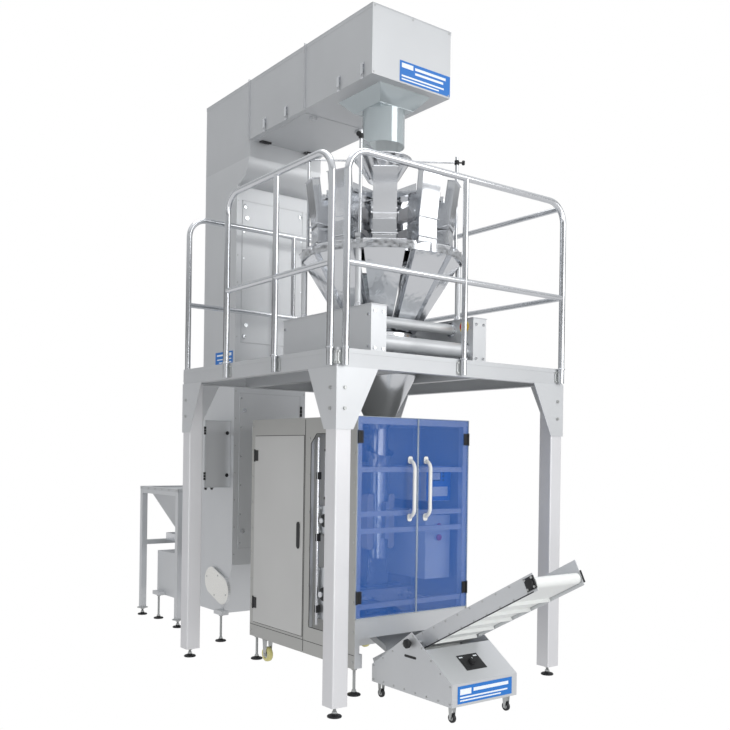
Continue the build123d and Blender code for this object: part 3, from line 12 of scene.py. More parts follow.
import bmesh
import bpy
import numpy as np
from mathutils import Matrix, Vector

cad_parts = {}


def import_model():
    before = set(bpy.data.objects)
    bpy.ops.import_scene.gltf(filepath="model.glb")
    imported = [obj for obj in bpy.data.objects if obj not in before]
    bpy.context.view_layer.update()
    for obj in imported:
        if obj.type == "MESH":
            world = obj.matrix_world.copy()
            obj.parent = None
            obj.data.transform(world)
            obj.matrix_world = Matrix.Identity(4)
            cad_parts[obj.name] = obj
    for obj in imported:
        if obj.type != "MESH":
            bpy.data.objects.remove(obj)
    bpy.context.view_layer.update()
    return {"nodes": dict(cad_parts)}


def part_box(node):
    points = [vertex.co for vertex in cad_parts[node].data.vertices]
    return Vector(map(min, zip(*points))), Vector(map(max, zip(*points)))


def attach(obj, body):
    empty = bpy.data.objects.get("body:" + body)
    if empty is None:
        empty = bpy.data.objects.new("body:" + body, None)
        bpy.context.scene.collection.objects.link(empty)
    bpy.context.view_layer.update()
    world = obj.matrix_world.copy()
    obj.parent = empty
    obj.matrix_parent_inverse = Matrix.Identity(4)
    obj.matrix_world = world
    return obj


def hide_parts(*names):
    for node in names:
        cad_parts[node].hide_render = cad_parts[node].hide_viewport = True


LOG = logging.getLogger("seal_line")
MM = 0.001
UP = np.array((0.0, 0.0, 1.0))


# ------------------------------------------------------------------ colour and nodes
def linear(hex_colour: str) -> tuple[float, float, float, float]:
    """Turn an sRGB hex colour into linear RGBA.

    Args:
        hex_colour: Six hex digits after a hash.

    Returns:
        The linear colour with an alpha of 1.
    """
    parts = [int(hex_colour[i:i + 2], 16) / 255 for i in (1, 3, 5)]
    low = [c / 12.92 if c <= 0.04045 else ((c + 0.055) / 1.055) ** 2.4 for c in parts]
    return (*low, 1.0)


def add_node(tree: bpy.types.NodeTree, kind: str, inputs: dict | None = None,
             **settings: object) -> bpy.types.Node:
    """Add a shader node, set its properties and fill or link its inputs.

    Args:
        tree: The node tree.
        kind: Blender's node type.
        inputs: Value or output socket for each input, by name or index.
        **settings: Properties of the node.

    Returns:
        The new node.
    """
    node = tree.nodes.new(kind)
    for key, value in settings.items():
        setattr(node, key, value)
    for key, value in (inputs or {}).items():
        if isinstance(value, bpy.types.NodeSocket):
            tree.links.new(value, node.inputs[key])
        else:
            node.inputs[key].default_value = value
    return node


class Grain(Enum):
    """Which way a sheet was brushed, or how else its surface was made."""

    UPRIGHT = "upright"
    ACROSS = "across"
    CLOUDED = "clouded"
    DIMPLED = "dimpled"
    WOVEN = "woven"
    TREAD = "tread"


@dataclass(frozen=True)
class Finish:
    """One real material and how its surface was made."""

    name: str
    colour: str
    metallic: float = 0.0
    roughness: float = 0.4
    ior: float = 1.5
    coat: float = 0.0
    transmission: float = 0.0
    alpha: float = 1.0
    grain: Grain = Grain.CLOUDED
    pitch: float = 4.0        # mm between marks of the grain
    depth: float = 0.02       # mm of height in the grain
    spread: float = 0.06      # how far the roughness wanders
    tint: float = 0.04        # how far the colour wanders

    def stretch(self) -> tuple[float, float, float]:
        """Return the pattern's repeats per metre along X, Y and Z.

        Returns:
            Repeats along X, Y and Z.
        """
        fine = 1000 / self.pitch
        long = fine / 60
        if self.grain is Grain.UPRIGHT:
            return (fine, fine, long)
        if self.grain is Grain.ACROSS:
            return (long, long, fine)
        return (fine, fine, fine)

    def height(self, tree: bpy.types.NodeTree, place: bpy.types.NodeSocket) -> bpy.types.NodeSocket:
        """Return the socket that carries the grain, from 0 to 1.

        Args:
            tree: The material's node tree.
            place: Socket with the scaled place.

        Returns:
            The socket.
        """
        if self.grain is Grain.DIMPLED:
            cells = add_node(tree, "ShaderNodeTexVoronoi", {"Vector": place, "Scale": 1.0},
                             feature="SMOOTH_F1")
            return cells.outputs["Distance"]
        if self.grain is Grain.WOVEN:
            waves = add_node(tree, "ShaderNodeTexWave", {"Vector": place, "Scale": 0.5, "Distortion": 0.4})
            return waves.outputs["Fac"]
        if self.grain is Grain.TREAD:
            # Raised lozenges: two crossed waves, kept where both are high.
            one = add_node(tree, "ShaderNodeTexWave", {"Vector": place, "Scale": 0.32},
                           bands_direction="DIAGONAL")
            two = add_node(tree, "ShaderNodeTexWave", {"Vector": place, "Scale": 0.32}, bands_direction="X")
            both = add_node(tree, "ShaderNodeMath", {0: one.outputs["Fac"], 1: two.outputs["Fac"]},
                            operation="MULTIPLY")
            return both.outputs[0]
        marks = add_node(tree, "ShaderNodeTexNoise", {"Vector": place, "Scale": 1.0, "Detail": 3.0})
        return marks.outputs["Fac"]

    def material(self) -> bpy.types.Material:
        """Build the material once and return it afterwards.

        Returns:
            The Blender material.
        """
        known = bpy.data.materials.get(self.name)
        if known is not None:
            return known
        paint = bpy.data.materials.new(self.name)
        paint.use_nodes = True
        tree = paint.node_tree
        shader = tree.nodes["Principled BSDF"]
        where = add_node(tree, "ShaderNodeTexCoord").outputs["Object"]
        fine = add_node(tree, "ShaderNodeMapping", {"Vector": where, "Scale": self.stretch()})
        marks = self.height(tree, fine.outputs[0])
        cloud = add_node(tree, "ShaderNodeTexNoise", {"Vector": where, "Scale": 2.3, "Detail": 2.0})
        rough = add_node(tree, "ShaderNodeMapRange",
                         {"Value": marks, "To Min": max(self.roughness - self.spread, 0.01),
                          "To Max": self.roughness + self.spread})
        base = linear(self.colour)
        dark = tuple(c * (1 - self.tint * 2) for c in base[:3]) + (1.0,)
        light = tuple(min(c * (1 + self.tint), 1.0) for c in base[:3]) + (1.0,)
        mix = add_node(tree, "ShaderNodeMix", {0: cloud.outputs["Fac"], 6: dark, 7: light}, data_type="RGBA")
        tree.links.new(mix.outputs[2], shader.inputs["Base Color"])
        tree.links.new(rough.outputs[0], shader.inputs["Roughness"])
        bump = add_node(tree, "ShaderNodeBump", {"Height": marks, "Strength": 0.6,
                                                 "Distance": self.depth * MM})
        tree.links.new(bump.outputs[0], shader.inputs["Normal"])
        shader.inputs["Metallic"].default_value = self.metallic
        shader.inputs["IOR"].default_value = self.ior
        shader.inputs["Coat Weight"].default_value = self.coat
        shader.inputs["Coat Roughness"].default_value = 0.08
        shader.inputs["Transmission Weight"].default_value = self.transmission
        shader.inputs["Alpha"].default_value = self.alpha
        return paint


# Folded cover sheet, brushed upright with a fine belt: soft streaks, no mirror image.
BRUSHED_SHEET = Finish("stainless_sheet_brushed", "#d6d8da", 0.65, 0.46, grain=Grain.UPRIGHT, pitch=5)
# The same sheet brushed across, on beams and on the elevator's arm.
BRUSHED_ACROSS = Finish("stainless_sheet_cross_brushed", "#cdcfd1", 0.6, 0.52, grain=Grain.ACROSS, pitch=5)
# Hollow section of the platform, bead blasted: even and pale.
BLASTED_TUBE = Finish("stainless_bead_blasted", "#e3e3e5", 0.55, 0.5, grain=Grain.CLOUDED, pitch=3)
# Tube and turned parts, mechanically polished: bright with faint clouding.
POLISHED = Finish("stainless_polished", "#e2e4e7", 1.0, 0.2, ior=1.5, pitch=30, depth=0.1, spread=0.04)
# Embossed anti stick sheet of hoppers and chutes: rows of shallow dimples, 30 mm apart.
DIMPLED = Finish("stainless_dimple_sheet", "#e4e6e9", 1.0, 0.16, grain=Grain.DIMPLED, pitch=30, depth=1.8,
                 spread=0.05)
# Treaded deck plate, with lozenges 32 mm apart.
TREAD_PLATE = Finish("stainless_tread_plate", "#c6c8ca", 0.8, 0.4, grain=Grain.TREAD, pitch=10, depth=1.5)
# Bagger covers: satin grey powder coat, with a fine orange peel.
GREY_COAT = Finish("powder_coat_grey", "#b4b4b1", 0.15, 0.45, grain=Grain.CLOUDED, pitch=3, depth=0.05)
GREY_COAT_LIGHT = Finish("powder_coat_pale_grey", "#c9c9c7", 0.15, 0.42, grain=Grain.CLOUDED, pitch=3,
                         depth=0.05)
# Blue tinted polycarbonate door sheet: clear, glossy.
BLUE_SHEET = Finish("polycarbonate_clear_blue", "#2f74d2", 0.0, 0.05, ior=1.45, alpha=0.33, coat=0.4,
                    pitch=60,
                    depth=0.02, spread=0.015, tint=0.05)
# Moulded handles: glossy white ABS.
WHITE_ABS = Finish("abs_moulded_white", "#f2f1ec", 0.0, 0.28, coat=0.2, pitch=2, depth=0.01)
# Injection moulded acetal and nylon: black, faintly rough.
BLACK_NYLON = Finish("nylon_moulded_black", "#17181a", 0.0, 0.45, pitch=1.5, depth=0.03, tint=0.1)
# Cream polyurethane tread of the bagger's castors.
CREAM_PU = Finish("polyurethane_cast_cream", "#d8d18c", 0.0, 0.38, coat=0.1, pitch=3, depth=0.05)
# Machined aluminium: faint tool marks 2 mm apart.
MACHINED = Finish("aluminium_machined", "#d2d4d6", 0.9, 0.3, grain=Grain.ACROSS, pitch=2, depth=0.02)
# Zinc plated steel fasteners and brackets.
ZINC = Finish("steel_zinc_plated", "#c4c6c5", 0.9, 0.3, pitch=4, depth=0.02, tint=0.08)
# White stove enamel of the electrical boxes.
ENAMEL = Finish("enamel_stoved_white", "#e6ebf0", 0.0, 0.3, coat=0.3, pitch=3, depth=0.03)
BLUE_ENAMEL = Finish("enamel_stoved_blue", "#2f6fd0", 0.0, 0.3, coat=0.3, pitch=3, depth=0.03)
# Printed vinyl plates: a plain blue, with blank white blocks.
BLUE_VINYL = Finish("vinyl_printed_blue", "#1e74c8", 0.0, 0.35, pitch=2, depth=0.01, tint=0.02)
WHITE_VINYL = Finish("vinyl_printed_white", "#eef3f8", 0.0, 0.35, pitch=2, depth=0.01, tint=0.01)
RED_ABS = Finish("abs_moulded_red", "#c8202a", 0.0, 0.3, coat=0.3, pitch=2, depth=0.01)
YELLOW_ABS = Finish("abs_moulded_yellow", "#f0c81e", 0.0, 0.35, coat=0.2, pitch=2, depth=0.01)
# Food belt: white polyurethane on fabric, with a fine weave 2 mm apart.
WHITE_BELT = Finish("polyurethane_belt_white", "#eceeec", 0.0, 0.42, grain=Grain.WOVEN, pitch=4, depth=0.1)
PALE_RUBBER = Finish("silicone_belt_pale", "#cfc9bd", 0.0, 0.55, grain=Grain.WOVEN, pitch=6, depth=0.3)
# Clear polypropylene film, one web and wound on its reel.
CLEAR_FILM = Finish("polypropylene_film_clear", "#eef4fb", 0.0, 0.08, ior=1.2, transmission=0.9, pitch=40,
                    depth=0.6, spread=0.04)
WOUND_FILM = Finish("polypropylene_film_wound", "#dfe6ee", 0.0, 0.22, coat=0.4, grain=Grain.ACROSS, pitch=6,
                    depth=0.05)
# Clear polycarbonate of the drop collar, slightly grey.
ACRYLIC = Finish("polycarbonate_tube_clear", "#d3dde0", 0.35, 0.07, ior=1.5, alpha=0.62, coat=0.5, pitch=80,
                 depth=0.05,
                 spread=0.03, tint=0.03)


# ------------------------------------------------------------------ mesh building
def unit(vector: np.ndarray) -> np.ndarray:
    """Scale a vector to length one.

    Args:
        vector: Any vector that has a length.

    Returns:
        The vector at length one.
    """
    return vector / np.linalg.norm(vector)


def square_to(axis: np.ndarray) -> tuple[np.ndarray, np.ndarray]:
    """Return two unit vectors that make a right handed set with an axis.

    Args:
        axis: The direction, of any length.

    Returns:
        Two unit vectors, square to the axis and to each other.
    """
    axis = unit(np.asarray(axis, float))
    helper = np.array((0.0, 0.0, 1.0)) if abs(axis[2]) < 0.9 else np.array((0.0, 1.0, 0.0))
    side = unit(np.cross(helper, axis))
    return side, np.cross(axis, side)


class Shape:
    """Vertices and faces in metres, gathered from closed surfaces."""

    def __init__(self) -> None:
        self.points: list[np.ndarray] = []
        self.faces: list[tuple[int, ...]] = []
        self.count = 0

    def add(self, points: np.ndarray, faces: np.ndarray | list) -> "Shape":
        """Append one surface.

        Args:
            points: Vertices, one row each.
            faces: Rows of indices into those vertices.

        Returns:
            This shape.
        """
        points = np.asarray(points, float).reshape(-1, 3)
        self.points.append(points)
        self.faces.extend(tuple(int(i) + self.count for i in face) for face in faces)
        self.count += len(points)
        return self

    def join(self, other: "Shape", turn: float = 0.0, centre: tuple[float, float] = (0.0, 0.0),
             move: tuple[float, float, float] = (0.0, 0.0, 0.0)) -> "Shape":
        """Append a copy of another shape, turned about a vertical axis and then moved.

        Args:
            other: The shape to copy.
            turn: Angle about the vertical, in radians.
            centre: X and Y of the turning axis.
            move: Shift after the turn, in metres.

        Returns:
            This shape.
        """
        points = np.concatenate(other.points)
        c, s = math.cos(turn), math.sin(turn)
        flat = points[:, :2] - centre
        turned = np.column_stack((flat @ np.array(((c, s), (-s, c))) + centre, points[:, 2]))
        return self.add(turned + move, other.faces)

    def grid(self, rows: np.ndarray, close_u: bool = False, close_v: bool = False) -> "Shape":
        """Append the surface through an array of points, P[u, v].

        Args:
            rows: Array of shape (nu, nv, 3).
            close_u: Join the last row to the first.
            close_v: Join the last column to the first.

        Returns:
            This shape.
        """
        nu, nv = rows.shape[:2]
        u, v = np.meshgrid(np.arange(nu if close_u else nu - 1), np.arange(nv if close_v else nv - 1),
                           indexing="ij")
        un, vn = (u + 1) % nu, (v + 1) % nv
        quads = np.stack((u * nv + v, un * nv + v, un * nv + vn, u * nv + vn), axis=-1).reshape(-1, 4)
        return self.add(rows, quads)

    def block(self, x: tuple, y: tuple, z: tuple) -> "Shape":
        """Append a box between pairs of X, Y and Z.

        Args:
            x: Its two X values, in metres.
            y: Its two Y values.
            z: Its two heights.

        Returns:
            This shape.
        """
        corners = np.array([(a, b, c) for a in x for b in y for c in z])
        quads = [(0, 1, 3, 2), (4, 6, 7, 5), (0, 4, 5, 1), (2, 3, 7, 6), (0, 2, 6, 4), (1, 5, 7, 3)]
        return self.add(corners, quads)

    def prism(self, outline: list, origin: tuple, across: tuple, upward: tuple, depth: float) -> "Shape":
        """Append a flat outline carried square to its plane by a depth.

        Args:
            outline: Points in the plane, as pairs along across and upward.
            origin: The plane's origin.
            across: Its first direction.
            upward: Its second direction.
            depth: How far the outline is carried, along across x upward.

        Returns:
            This shape.
        """
        flat = np.asarray(outline, float)
        a, b = np.asarray(across, float), np.asarray(upward, float)
        out = np.cross(a, b)
        area = np.sum(flat[:, 0] * np.roll(flat[:, 1], -1) - np.roll(flat[:, 0], -1) * flat[:, 1])
        if (area > 0) != (depth > 0):
            flat = flat[::-1]
        base = np.asarray(origin, float) + flat[:, :1] * a + flat[:, 1:] * b
        n = len(flat)
        points = np.concatenate((base, base + out * depth))
        faces = [tuple(range(n - 1, -1, -1)), tuple(range(n, 2 * n))]
        faces += [(i, (i + 1) % n, (i + 1) % n + n, i + n) for i in range(n)]
        return self.add(points, faces)

    def lathe(self, profile: list, centre: tuple, axis: tuple = (0, 0, 1), steps: int = 48,
              closed: bool = False) -> "Shape":
        """Append a profile of (radius, height) pairs turned once about an axis.

        The point at angle t is centre + height * axis + radius * (cos t * side + sin t * up).
        An open profile has its two ends closed by discs where its radius isn't zero.

        Args:
            profile: Pairs of radius and height, in metres.
            centre: Where height is zero.
            axis: Direction of the height.
            steps: Points round it.
            closed: True if the profile runs back to its start.

        Returns:
            This shape.
        """
        pairs = np.asarray(profile, float)
        axis = unit(np.asarray(axis, float))
        side, up = square_to(axis)
        t = np.linspace(0, 2 * np.pi, steps, endpoint=False)
        ring = np.cos(t)[:, None] * side + np.sin(t)[:, None] * up
        rows = (np.asarray(centre, float) + pairs[:, None, 1:] * axis
                + pairs[:, None, :1] * ring[None, :, :])
        rows = rows[::-1]
        start = self.count
        self.grid(rows, close_u=closed, close_v=True)
        if not closed:
            last = (len(pairs) - 1) * steps
            self.faces.append(tuple(start + i for i in range(steps)))
            self.faces.append(tuple(start + last + i for i in range(steps - 1, -1, -1)))
        return self

    def bar(self, start: tuple, end: tuple, radius: float, steps: int = 20, ease: float = 0.0) -> "Shape":
        """Append a round bar with its ends eased by a small chamfer.

        Args:
            start: One end.
            end: The other end.
            radius: Its radius, in metres.
            steps: Points round it.
            ease: Size of the chamfer.

        Returns:
            This shape.
        """
        a, b = np.asarray(start, float), np.asarray(end, float)
        length = float(np.linalg.norm(b - a))
        ease = min(ease, length / 3, radius / 2)
        rim = [(radius - ease, 0), (radius, ease), (radius, length - ease), (radius - ease, length)]
        return self.lathe(rim if ease else [(radius, 0), (radius, length)], a, b - a, steps)

    def pipe(self, path: np.ndarray, radius: float, steps: int = 20) -> "Shape":
        """Append a tube along a path.

        Each ring lies in the plane square to the path's direction, whose frame is carried on from
        the ring before so that the tube doesn't twist.

        Args:
            path: Points of its middle line.
            radius: Its radius, in metres.
            steps: Points round it.

        Returns:
            This shape.
        """
        path = np.asarray(path, float)
        along = np.gradient(path, axis=0)
        along /= np.linalg.norm(along, axis=1)[:, None]
        side, _ = square_to(along[0])
        sides = []
        for direction in along:
            side = unit(side - direction * np.dot(side, direction))
            sides.append(side)
        sides = np.array(sides)
        ups = np.cross(along, sides)
        t = np.linspace(0, 2 * np.pi, steps, endpoint=False)
        rows = path[:, None] + radius * (np.cos(t)[None, :, None] * sides[:, None]
                                         + np.sin(t)[None, :, None] * ups[:, None])
        start = self.count
        self.grid(rows[::-1], close_v=True)
        last = (len(path) - 1) * steps
        self.faces.append(tuple(start + i for i in range(steps)))
        self.faces.append(tuple(start + last + i for i in range(steps - 1, -1, -1)))
        return self

    def hexagon(self, centre: tuple, axis: tuple, across_flats: float, height: float) -> "Shape":
        """Append a hexagon head with a washer under it.

        Args:
            centre: Where it seats.
            axis: The way it stands out.
            across_flats: Size over the flats, in metres.
            height: Height with the washer.

        Returns:
            This shape.
        """
        axis = unit(np.asarray(axis, float))
        side, up = square_to(axis)
        radius = across_flats / math.sqrt(3)
        turn = [math.radians(60 * k) for k in range(6)]
        outline = [(radius * math.cos(t), radius * math.sin(t)) for t in turn]
        seat = np.asarray(centre, float)
        self.lathe([(across_flats * 0.62, 0), (across_flats * 0.62, height * 0.2)], seat, axis, 18)
        return self.prism(outline, seat + axis * height * 0.2, side, up, height * 0.8)

    def make(self, name: str, finish: Finish, body: str, slot: str, replaces: tuple[str, ...] = (),
             bevel: float = 0.0, smooth: float = 35.0) -> bpy.types.Object:
        """Make the Blender object, dress it and tie it to its body.

        Args:
            name: The piece's name.
            finish: Its material.
            body: The body it rides on.
            slot: The record's material slot; not used.
            replaces: CAD nodes it stands for.
            bevel: Width of its eased edges, in millimetres.
            smooth: Edges sharper than this many degrees stay sharp.

        Returns:
            The object.
        """
        mesh = bpy.data.meshes.new(name)
        mesh.from_pydata(np.concatenate(self.points).tolist(), [], self.faces)
        shell = bmesh.new()
        shell.from_mesh(mesh)
        bmesh.ops.recalc_face_normals(shell, faces=shell.faces)
        shell.to_mesh(mesh)
        shell.free()
        piece = bpy.data.objects.new(name, mesh)
        bpy.context.scene.collection.objects.link(piece)
        mesh.materials.append(finish.material())
        mesh.shade_smooth()
        mesh.set_sharp_from_angle(angle=math.radians(smooth))
        if bevel:
            ease = piece.modifiers.new("eased edges", "BEVEL")
            ease.width = bevel * MM
            ease.segments = 2
            ease.limit_method = "ANGLE"
            ease.angle_limit = math.radians(smooth)
            ease.harden_normals = True
        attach(piece, body)
        if replaces:
            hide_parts(*replaces)
        LOG.info("%s rides on %s with %d faces", name, body, len(self.faces))
        return piece


def arc(centre: np.ndarray, start: np.ndarray, end: np.ndarray, steps: int) -> np.ndarray:
    """Points of a quarter bend: centre + cos t * (start - centre) + sin t * (end - centre).

    Args:
        centre: Middle of the bend.
        start: Where it begins.
        end: Where it ends, a quarter turn on.
        steps: Number of points.

    Returns:
        The points, one row each.
    """
    t = np.linspace(0, np.pi / 2, steps)[:, None]
    return centre + np.cos(t) * (start - centre) + np.sin(t) * (end - centre)


def rounded(corners: list, radius: float, steps: int = 10) -> np.ndarray:
    """Path through corners whose square bends are rounded to a radius.

    Args:
        corners: The path's ends and corners.
        radius: Radius of each bend, in metres.
        steps: Points on each bend.

    Returns:
        The points, one row each.
    """
    points = [np.asarray(c, float) for c in corners]
    path = [points[0][None]]
    for before, corner, after in zip(points, points[1:], points[2:]):
        enter = corner + unit(before - corner) * radius
        leave = corner + unit(after - corner) * radius
        path.append(arc(enter + leave - corner, enter, leave, steps))
    path.append(points[-1][None])
    return np.concatenate(path)


def span(node: str) -> tuple[tuple, tuple, tuple]:
    """Return the X, Y and Z spans of a CAD node.

    Args:
        node: The CAD node.

    Returns:
        The lowest and highest X, Y and Z, in metres.
    """
    low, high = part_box(node)
    return (low[0], high[0]), (low[1], high[1]), (low[2], high[2])


def middle(pair: tuple) -> float:
    """Return the middle of a span.

    Args:
        pair: The span's two ends.

    Returns:
        The value half way.
    """
    return (pair[0] + pair[1]) / 2


def clusters(node: str, reach: float) -> list[tuple[float, float, float, float]]:
    """Find the separate upright parts of a CAD node.

    Args:
        node: The CAD node.
        reach: Vertices closer than this in plan belong together, in metres.

    Returns:
        X, Y, lowest and highest Z of each part.
    """
    mesh = bpy.data.objects[node].data
    points = np.empty(len(mesh.vertices) * 3)
    mesh.vertices.foreach_get("co", points)
    left = points.reshape(-1, 3)
    found = []
    while len(left):
        near = np.linalg.norm(left[:, :2] - left[0, :2], axis=1) < reach
        part, left = left[near], left[~near]
        low, high = part.min(axis=0), part.max(axis=0)
        found.append(((low[0] + high[0]) / 2, (low[1] + high[1]) / 2, low[2], high[2]))
    return found


def ring(wide: float, deep: float, corner: float, centre: tuple, steps: int = 4) -> np.ndarray:
    """Rounded rectangle in plan: each corner is a quarter circle about its own centre.

    Args:
        wide: Size along X, in metres.
        deep: Size along Y.
        corner: Corner radius.
        centre: X, Y and Z of its middle.
        steps: Points on each corner.

    Returns:
        The points, anticlockwise.
    """
    t = np.linspace(0, np.pi / 2, steps)
    points = []
    for quarter, (sx, sy) in enumerate(((1, 1), (-1, 1), (-1, -1), (1, -1))):
        a = t + quarter * np.pi / 2
        points.append(np.column_stack((sx * (wide / 2 - corner) + corner * np.cos(a),
                                       sy * (deep / 2 - corner) + corner * np.sin(a))))
    flat = np.concatenate(points)
    return np.column_stack((flat, np.zeros(len(flat)))) + np.asarray(centre, float)


ROOT = "machine"
SHEET_SLOT = "stainless_brushed"
POLISH_SLOT = "polished_stainless"


# ------------------------------------------------------------------ platform
@dataclass
class Platform:
    """Work platform: legs, beams, deck and guard rail."""

    rail_radius: float = 19
    branch_radius: float = 17
    rail_top: float = 1050
    rail_mid: float = 450
    bend: float = 130
    inset: float = 38
    plate: float = 6
    plate_size: float = 76
    side_gap: float = 1180
    side_post: float = 600
    beam: float = 100
    gusset_drop: float = 330
    gusset_sheet: float = 5
    leg: float = 100
    bolt: float = 17
    lip: float = 26

    def __post_init__(self) -> None:
        """Read the deck's box."""
        self.x, self.y, self.z = span("deck_plate")
        self.off = (self.plate + self.branch_radius - 2) * MM
        self.top = self.z[1]
        self.low = self.top - self.beam * MM

    def post_places(self) -> list[tuple[np.ndarray, np.ndarray]]:
        """Return each post's foot on the beam's face and the face's outward direction.

        Returns:
            A foot and a direction for each post.
        """
        xs = (self.x[0] + self.inset * MM, middle(self.x), self.x[1] - self.inset * MM)
        ys = [self.y[0] + v * MM for v in (self.inset, self.side_post, self.side_gap)]
        mid_z = (self.low + self.top) / 2 - 0.002
        places = [(np.array((x, self.y[0], mid_z)), np.array((0, -1.0, 0))) for x in xs]
        places += [(np.array((x, self.y[1], mid_z)), np.array((0, 1.0, 0))) for x in xs]
        places += [(np.array((self.x[0], y, mid_z)), np.array((-1.0, 0, 0))) for y in ys]
        return places

    def rails(self) -> None:
        """Build the bent tube hoops, the straight rails and the bracket plates."""
        foot = self.low + self.plate * MM
        top = self.top + self.rail_top * MM
        mid = self.top + self.rail_mid * MM
        bend = self.bend * MM
        radius, branch = self.rail_radius * MM, self.branch_radius * MM
        left, right = self.x[0] + self.inset * MM, self.x[1] - self.inset * MM
        front, back = self.y[0] - self.off, self.y[1] + self.off
        side = self.x[0] - self.off
        near, far = self.y[0] + self.inset * MM, self.y[0] + self.side_gap * MM
        shape = Shape()
        for a, b in (((left, front), (right, front)), ((side, near), (side, far)),
                     ((left, back), (right, back))):
            shape.pipe(rounded([(*a, foot), (*a, top), (*b, top), (*b, foot)], bend, 16), radius, 28)
        for a, b in (((left, front), (right, front)), ((left, back), (right, back)),
                     ((side, near), (side, far)), ((right, front), (right, back))):
            shape.bar((*a, mid), (*b, mid), branch, 28)
        join = bend * math.cos(math.radians(45))
        shape.bar((right - bend + join, front, top - bend + join),
                  (right - bend + join, back, top - bend + join),
                  branch, 28)
        for x, y in ((middle(self.x), front), (middle(self.x), back),
                     (side, self.y[0] + self.side_post * MM)):
            shape.bar((x, y, foot), (x, y, top), branch, 28)
        shape.make("guard_rail_tubes", POLISHED, ROOT, POLISH_SLOT, ("handrails",))
        plates = Shape()
        half = self.plate_size / 2 * MM
        for place, out in self.post_places():
            side_way = np.cross(UP, out)
            plates.prism([(-half, -half + 0.002), (half, -half + 0.002), (half, half - 0.002),
                          (-half, half - 0.002)],
                         place, side_way, UP, self.plate * MM)
        plates.make("guard_rail_plates", ZINC, ROOT, POLISH_SLOT, bevel=1.5)
        collars = Shape()
        for place, out in self.post_places():
            post = place + out * self.off
            collars.lathe([(radius + 0.001, 0), (radius + 0.005, 0.002), (radius + 0.005, 0.008),
                           (radius, 0.012)],
                          (post[0], post[1], self.top - 0.008))
        collars.make("guard_rail_collars", POLISHED, ROOT, POLISH_SLOT)

    def fasteners(self) -> None:
        """Build the hexagon bolts of the bracket plates and gussets."""
        shape = Shape()
        step = (self.plate_size / 2 - 9) * MM
        for place, out in self.post_places():
            side_way = np.cross(UP, out)
            for a in (-step, step):
                for b in (-step, step):
                    shape.hexagon(place + out * self.plate * MM + side_way * a + UP * b, out, 0.0105, 0.006)
        half = self.leg / 2 * MM
        for drop in (self.gusset_drop / 3, self.gusset_drop * 2 / 3):
            z = self.low - drop * MM
            for x in (self.x[0] + half, self.x[1] - half):
                shape.hexagon((x, self.y[0] - self.gusset_sheet * MM, z), (0, -1, 0), self.bolt * MM, 0.0075)
                shape.hexagon((x, self.y[1] + self.gusset_sheet * MM, z), (0, 1, 0), self.bolt * MM, 0.0075)
            for y in (self.y[0] + half, self.y[1] - half):
                shape.hexagon((self.x[0] - self.gusset_sheet * MM, y, z), (-1, 0, 0), self.bolt * MM, 0.0075)
                shape.hexagon((self.x[1] + self.gusset_sheet * MM, y, z), (1, 0, 0), self.bolt * MM, 0.0075)
        shape.make("platform_bolt_heads", ZINC, ROOT, POLISH_SLOT, ("platform_bolts",))

    def deck_edge(self) -> None:
        """Build the deck's folded lip and the raised lozenges of its tread."""
        lip, thick = self.lip * MM, 0.0015
        shape = Shape()
        shape.block((self.x[0] - thick, self.x[1] + thick), (self.y[0] - thick, self.y[0]),
                    (self.top - lip, self.top))
        shape.block((self.x[0] - thick, self.x[1] + thick), (self.y[1], self.y[1] + thick),
                    (self.top - lip, self.top))
        shape.block((self.x[0] - thick, self.x[0]), self.y, (self.top - lip, self.top))
        shape.block((self.x[1], self.x[1] + thick), self.y, (self.top - lip, self.top))
        shape.make("deck_lip", BRUSHED_ACROSS, ROOT, SHEET_SLOT, bevel=0.8)
        self.tread()

    def tread(self) -> None:
        """Build the tread: lozenges in rows, each turned square to its neighbours."""
        pitch, long, wide, high = 0.05, 0.03, 0.009, 0.0016
        xs = np.arange(self.x[0] + pitch, self.x[1] - pitch / 2, pitch)
        ys = np.arange(self.y[0] + pitch, self.y[1] - pitch / 2, pitch)
        gx, gy = (a.ravel() for a in np.meshgrid(xs, ys))
        turned = (np.arange(len(gx)) + np.arange(len(gx)) // len(xs)) % 2
        ends = np.array(((long / 2, 0), (0, wide / 2), (-long / 2, 0), (0, -wide / 2), (0, 0)))
        corners = np.where(turned[:, None, None] == 1, ends[None, :, ::-1], ends[None])
        points = np.empty((len(gx), 5, 3))
        points[..., 0] = gx[:, None] + corners[..., 0]
        points[..., 1] = gy[:, None] + corners[..., 1]
        points[..., 2] = self.top
        points[:, 4, 2] += high
        start = np.arange(len(gx))[:, None, None] * 5
        sides = np.array(((0, 1, 4), (1, 2, 4), (2, 3, 4), (3, 0, 4)))
        axis = np.array((middle(span("collecting_funnel")[0]), middle(span("collecting_funnel")[1])))
        clear = np.linalg.norm(np.column_stack((gx, gy)) - axis, axis=1) > 0.29
        faces = (sides[None] + start)[clear].reshape(-1, 3)
        Shape().add(points, faces).make("deck_tread", TREAD_PLATE, ROOT, "deck_steel", smooth=10)

    def build(self) -> None:
        """Build every piece of the platform."""
        self.rails()
        self.fasteners()
        self.deck_edge()


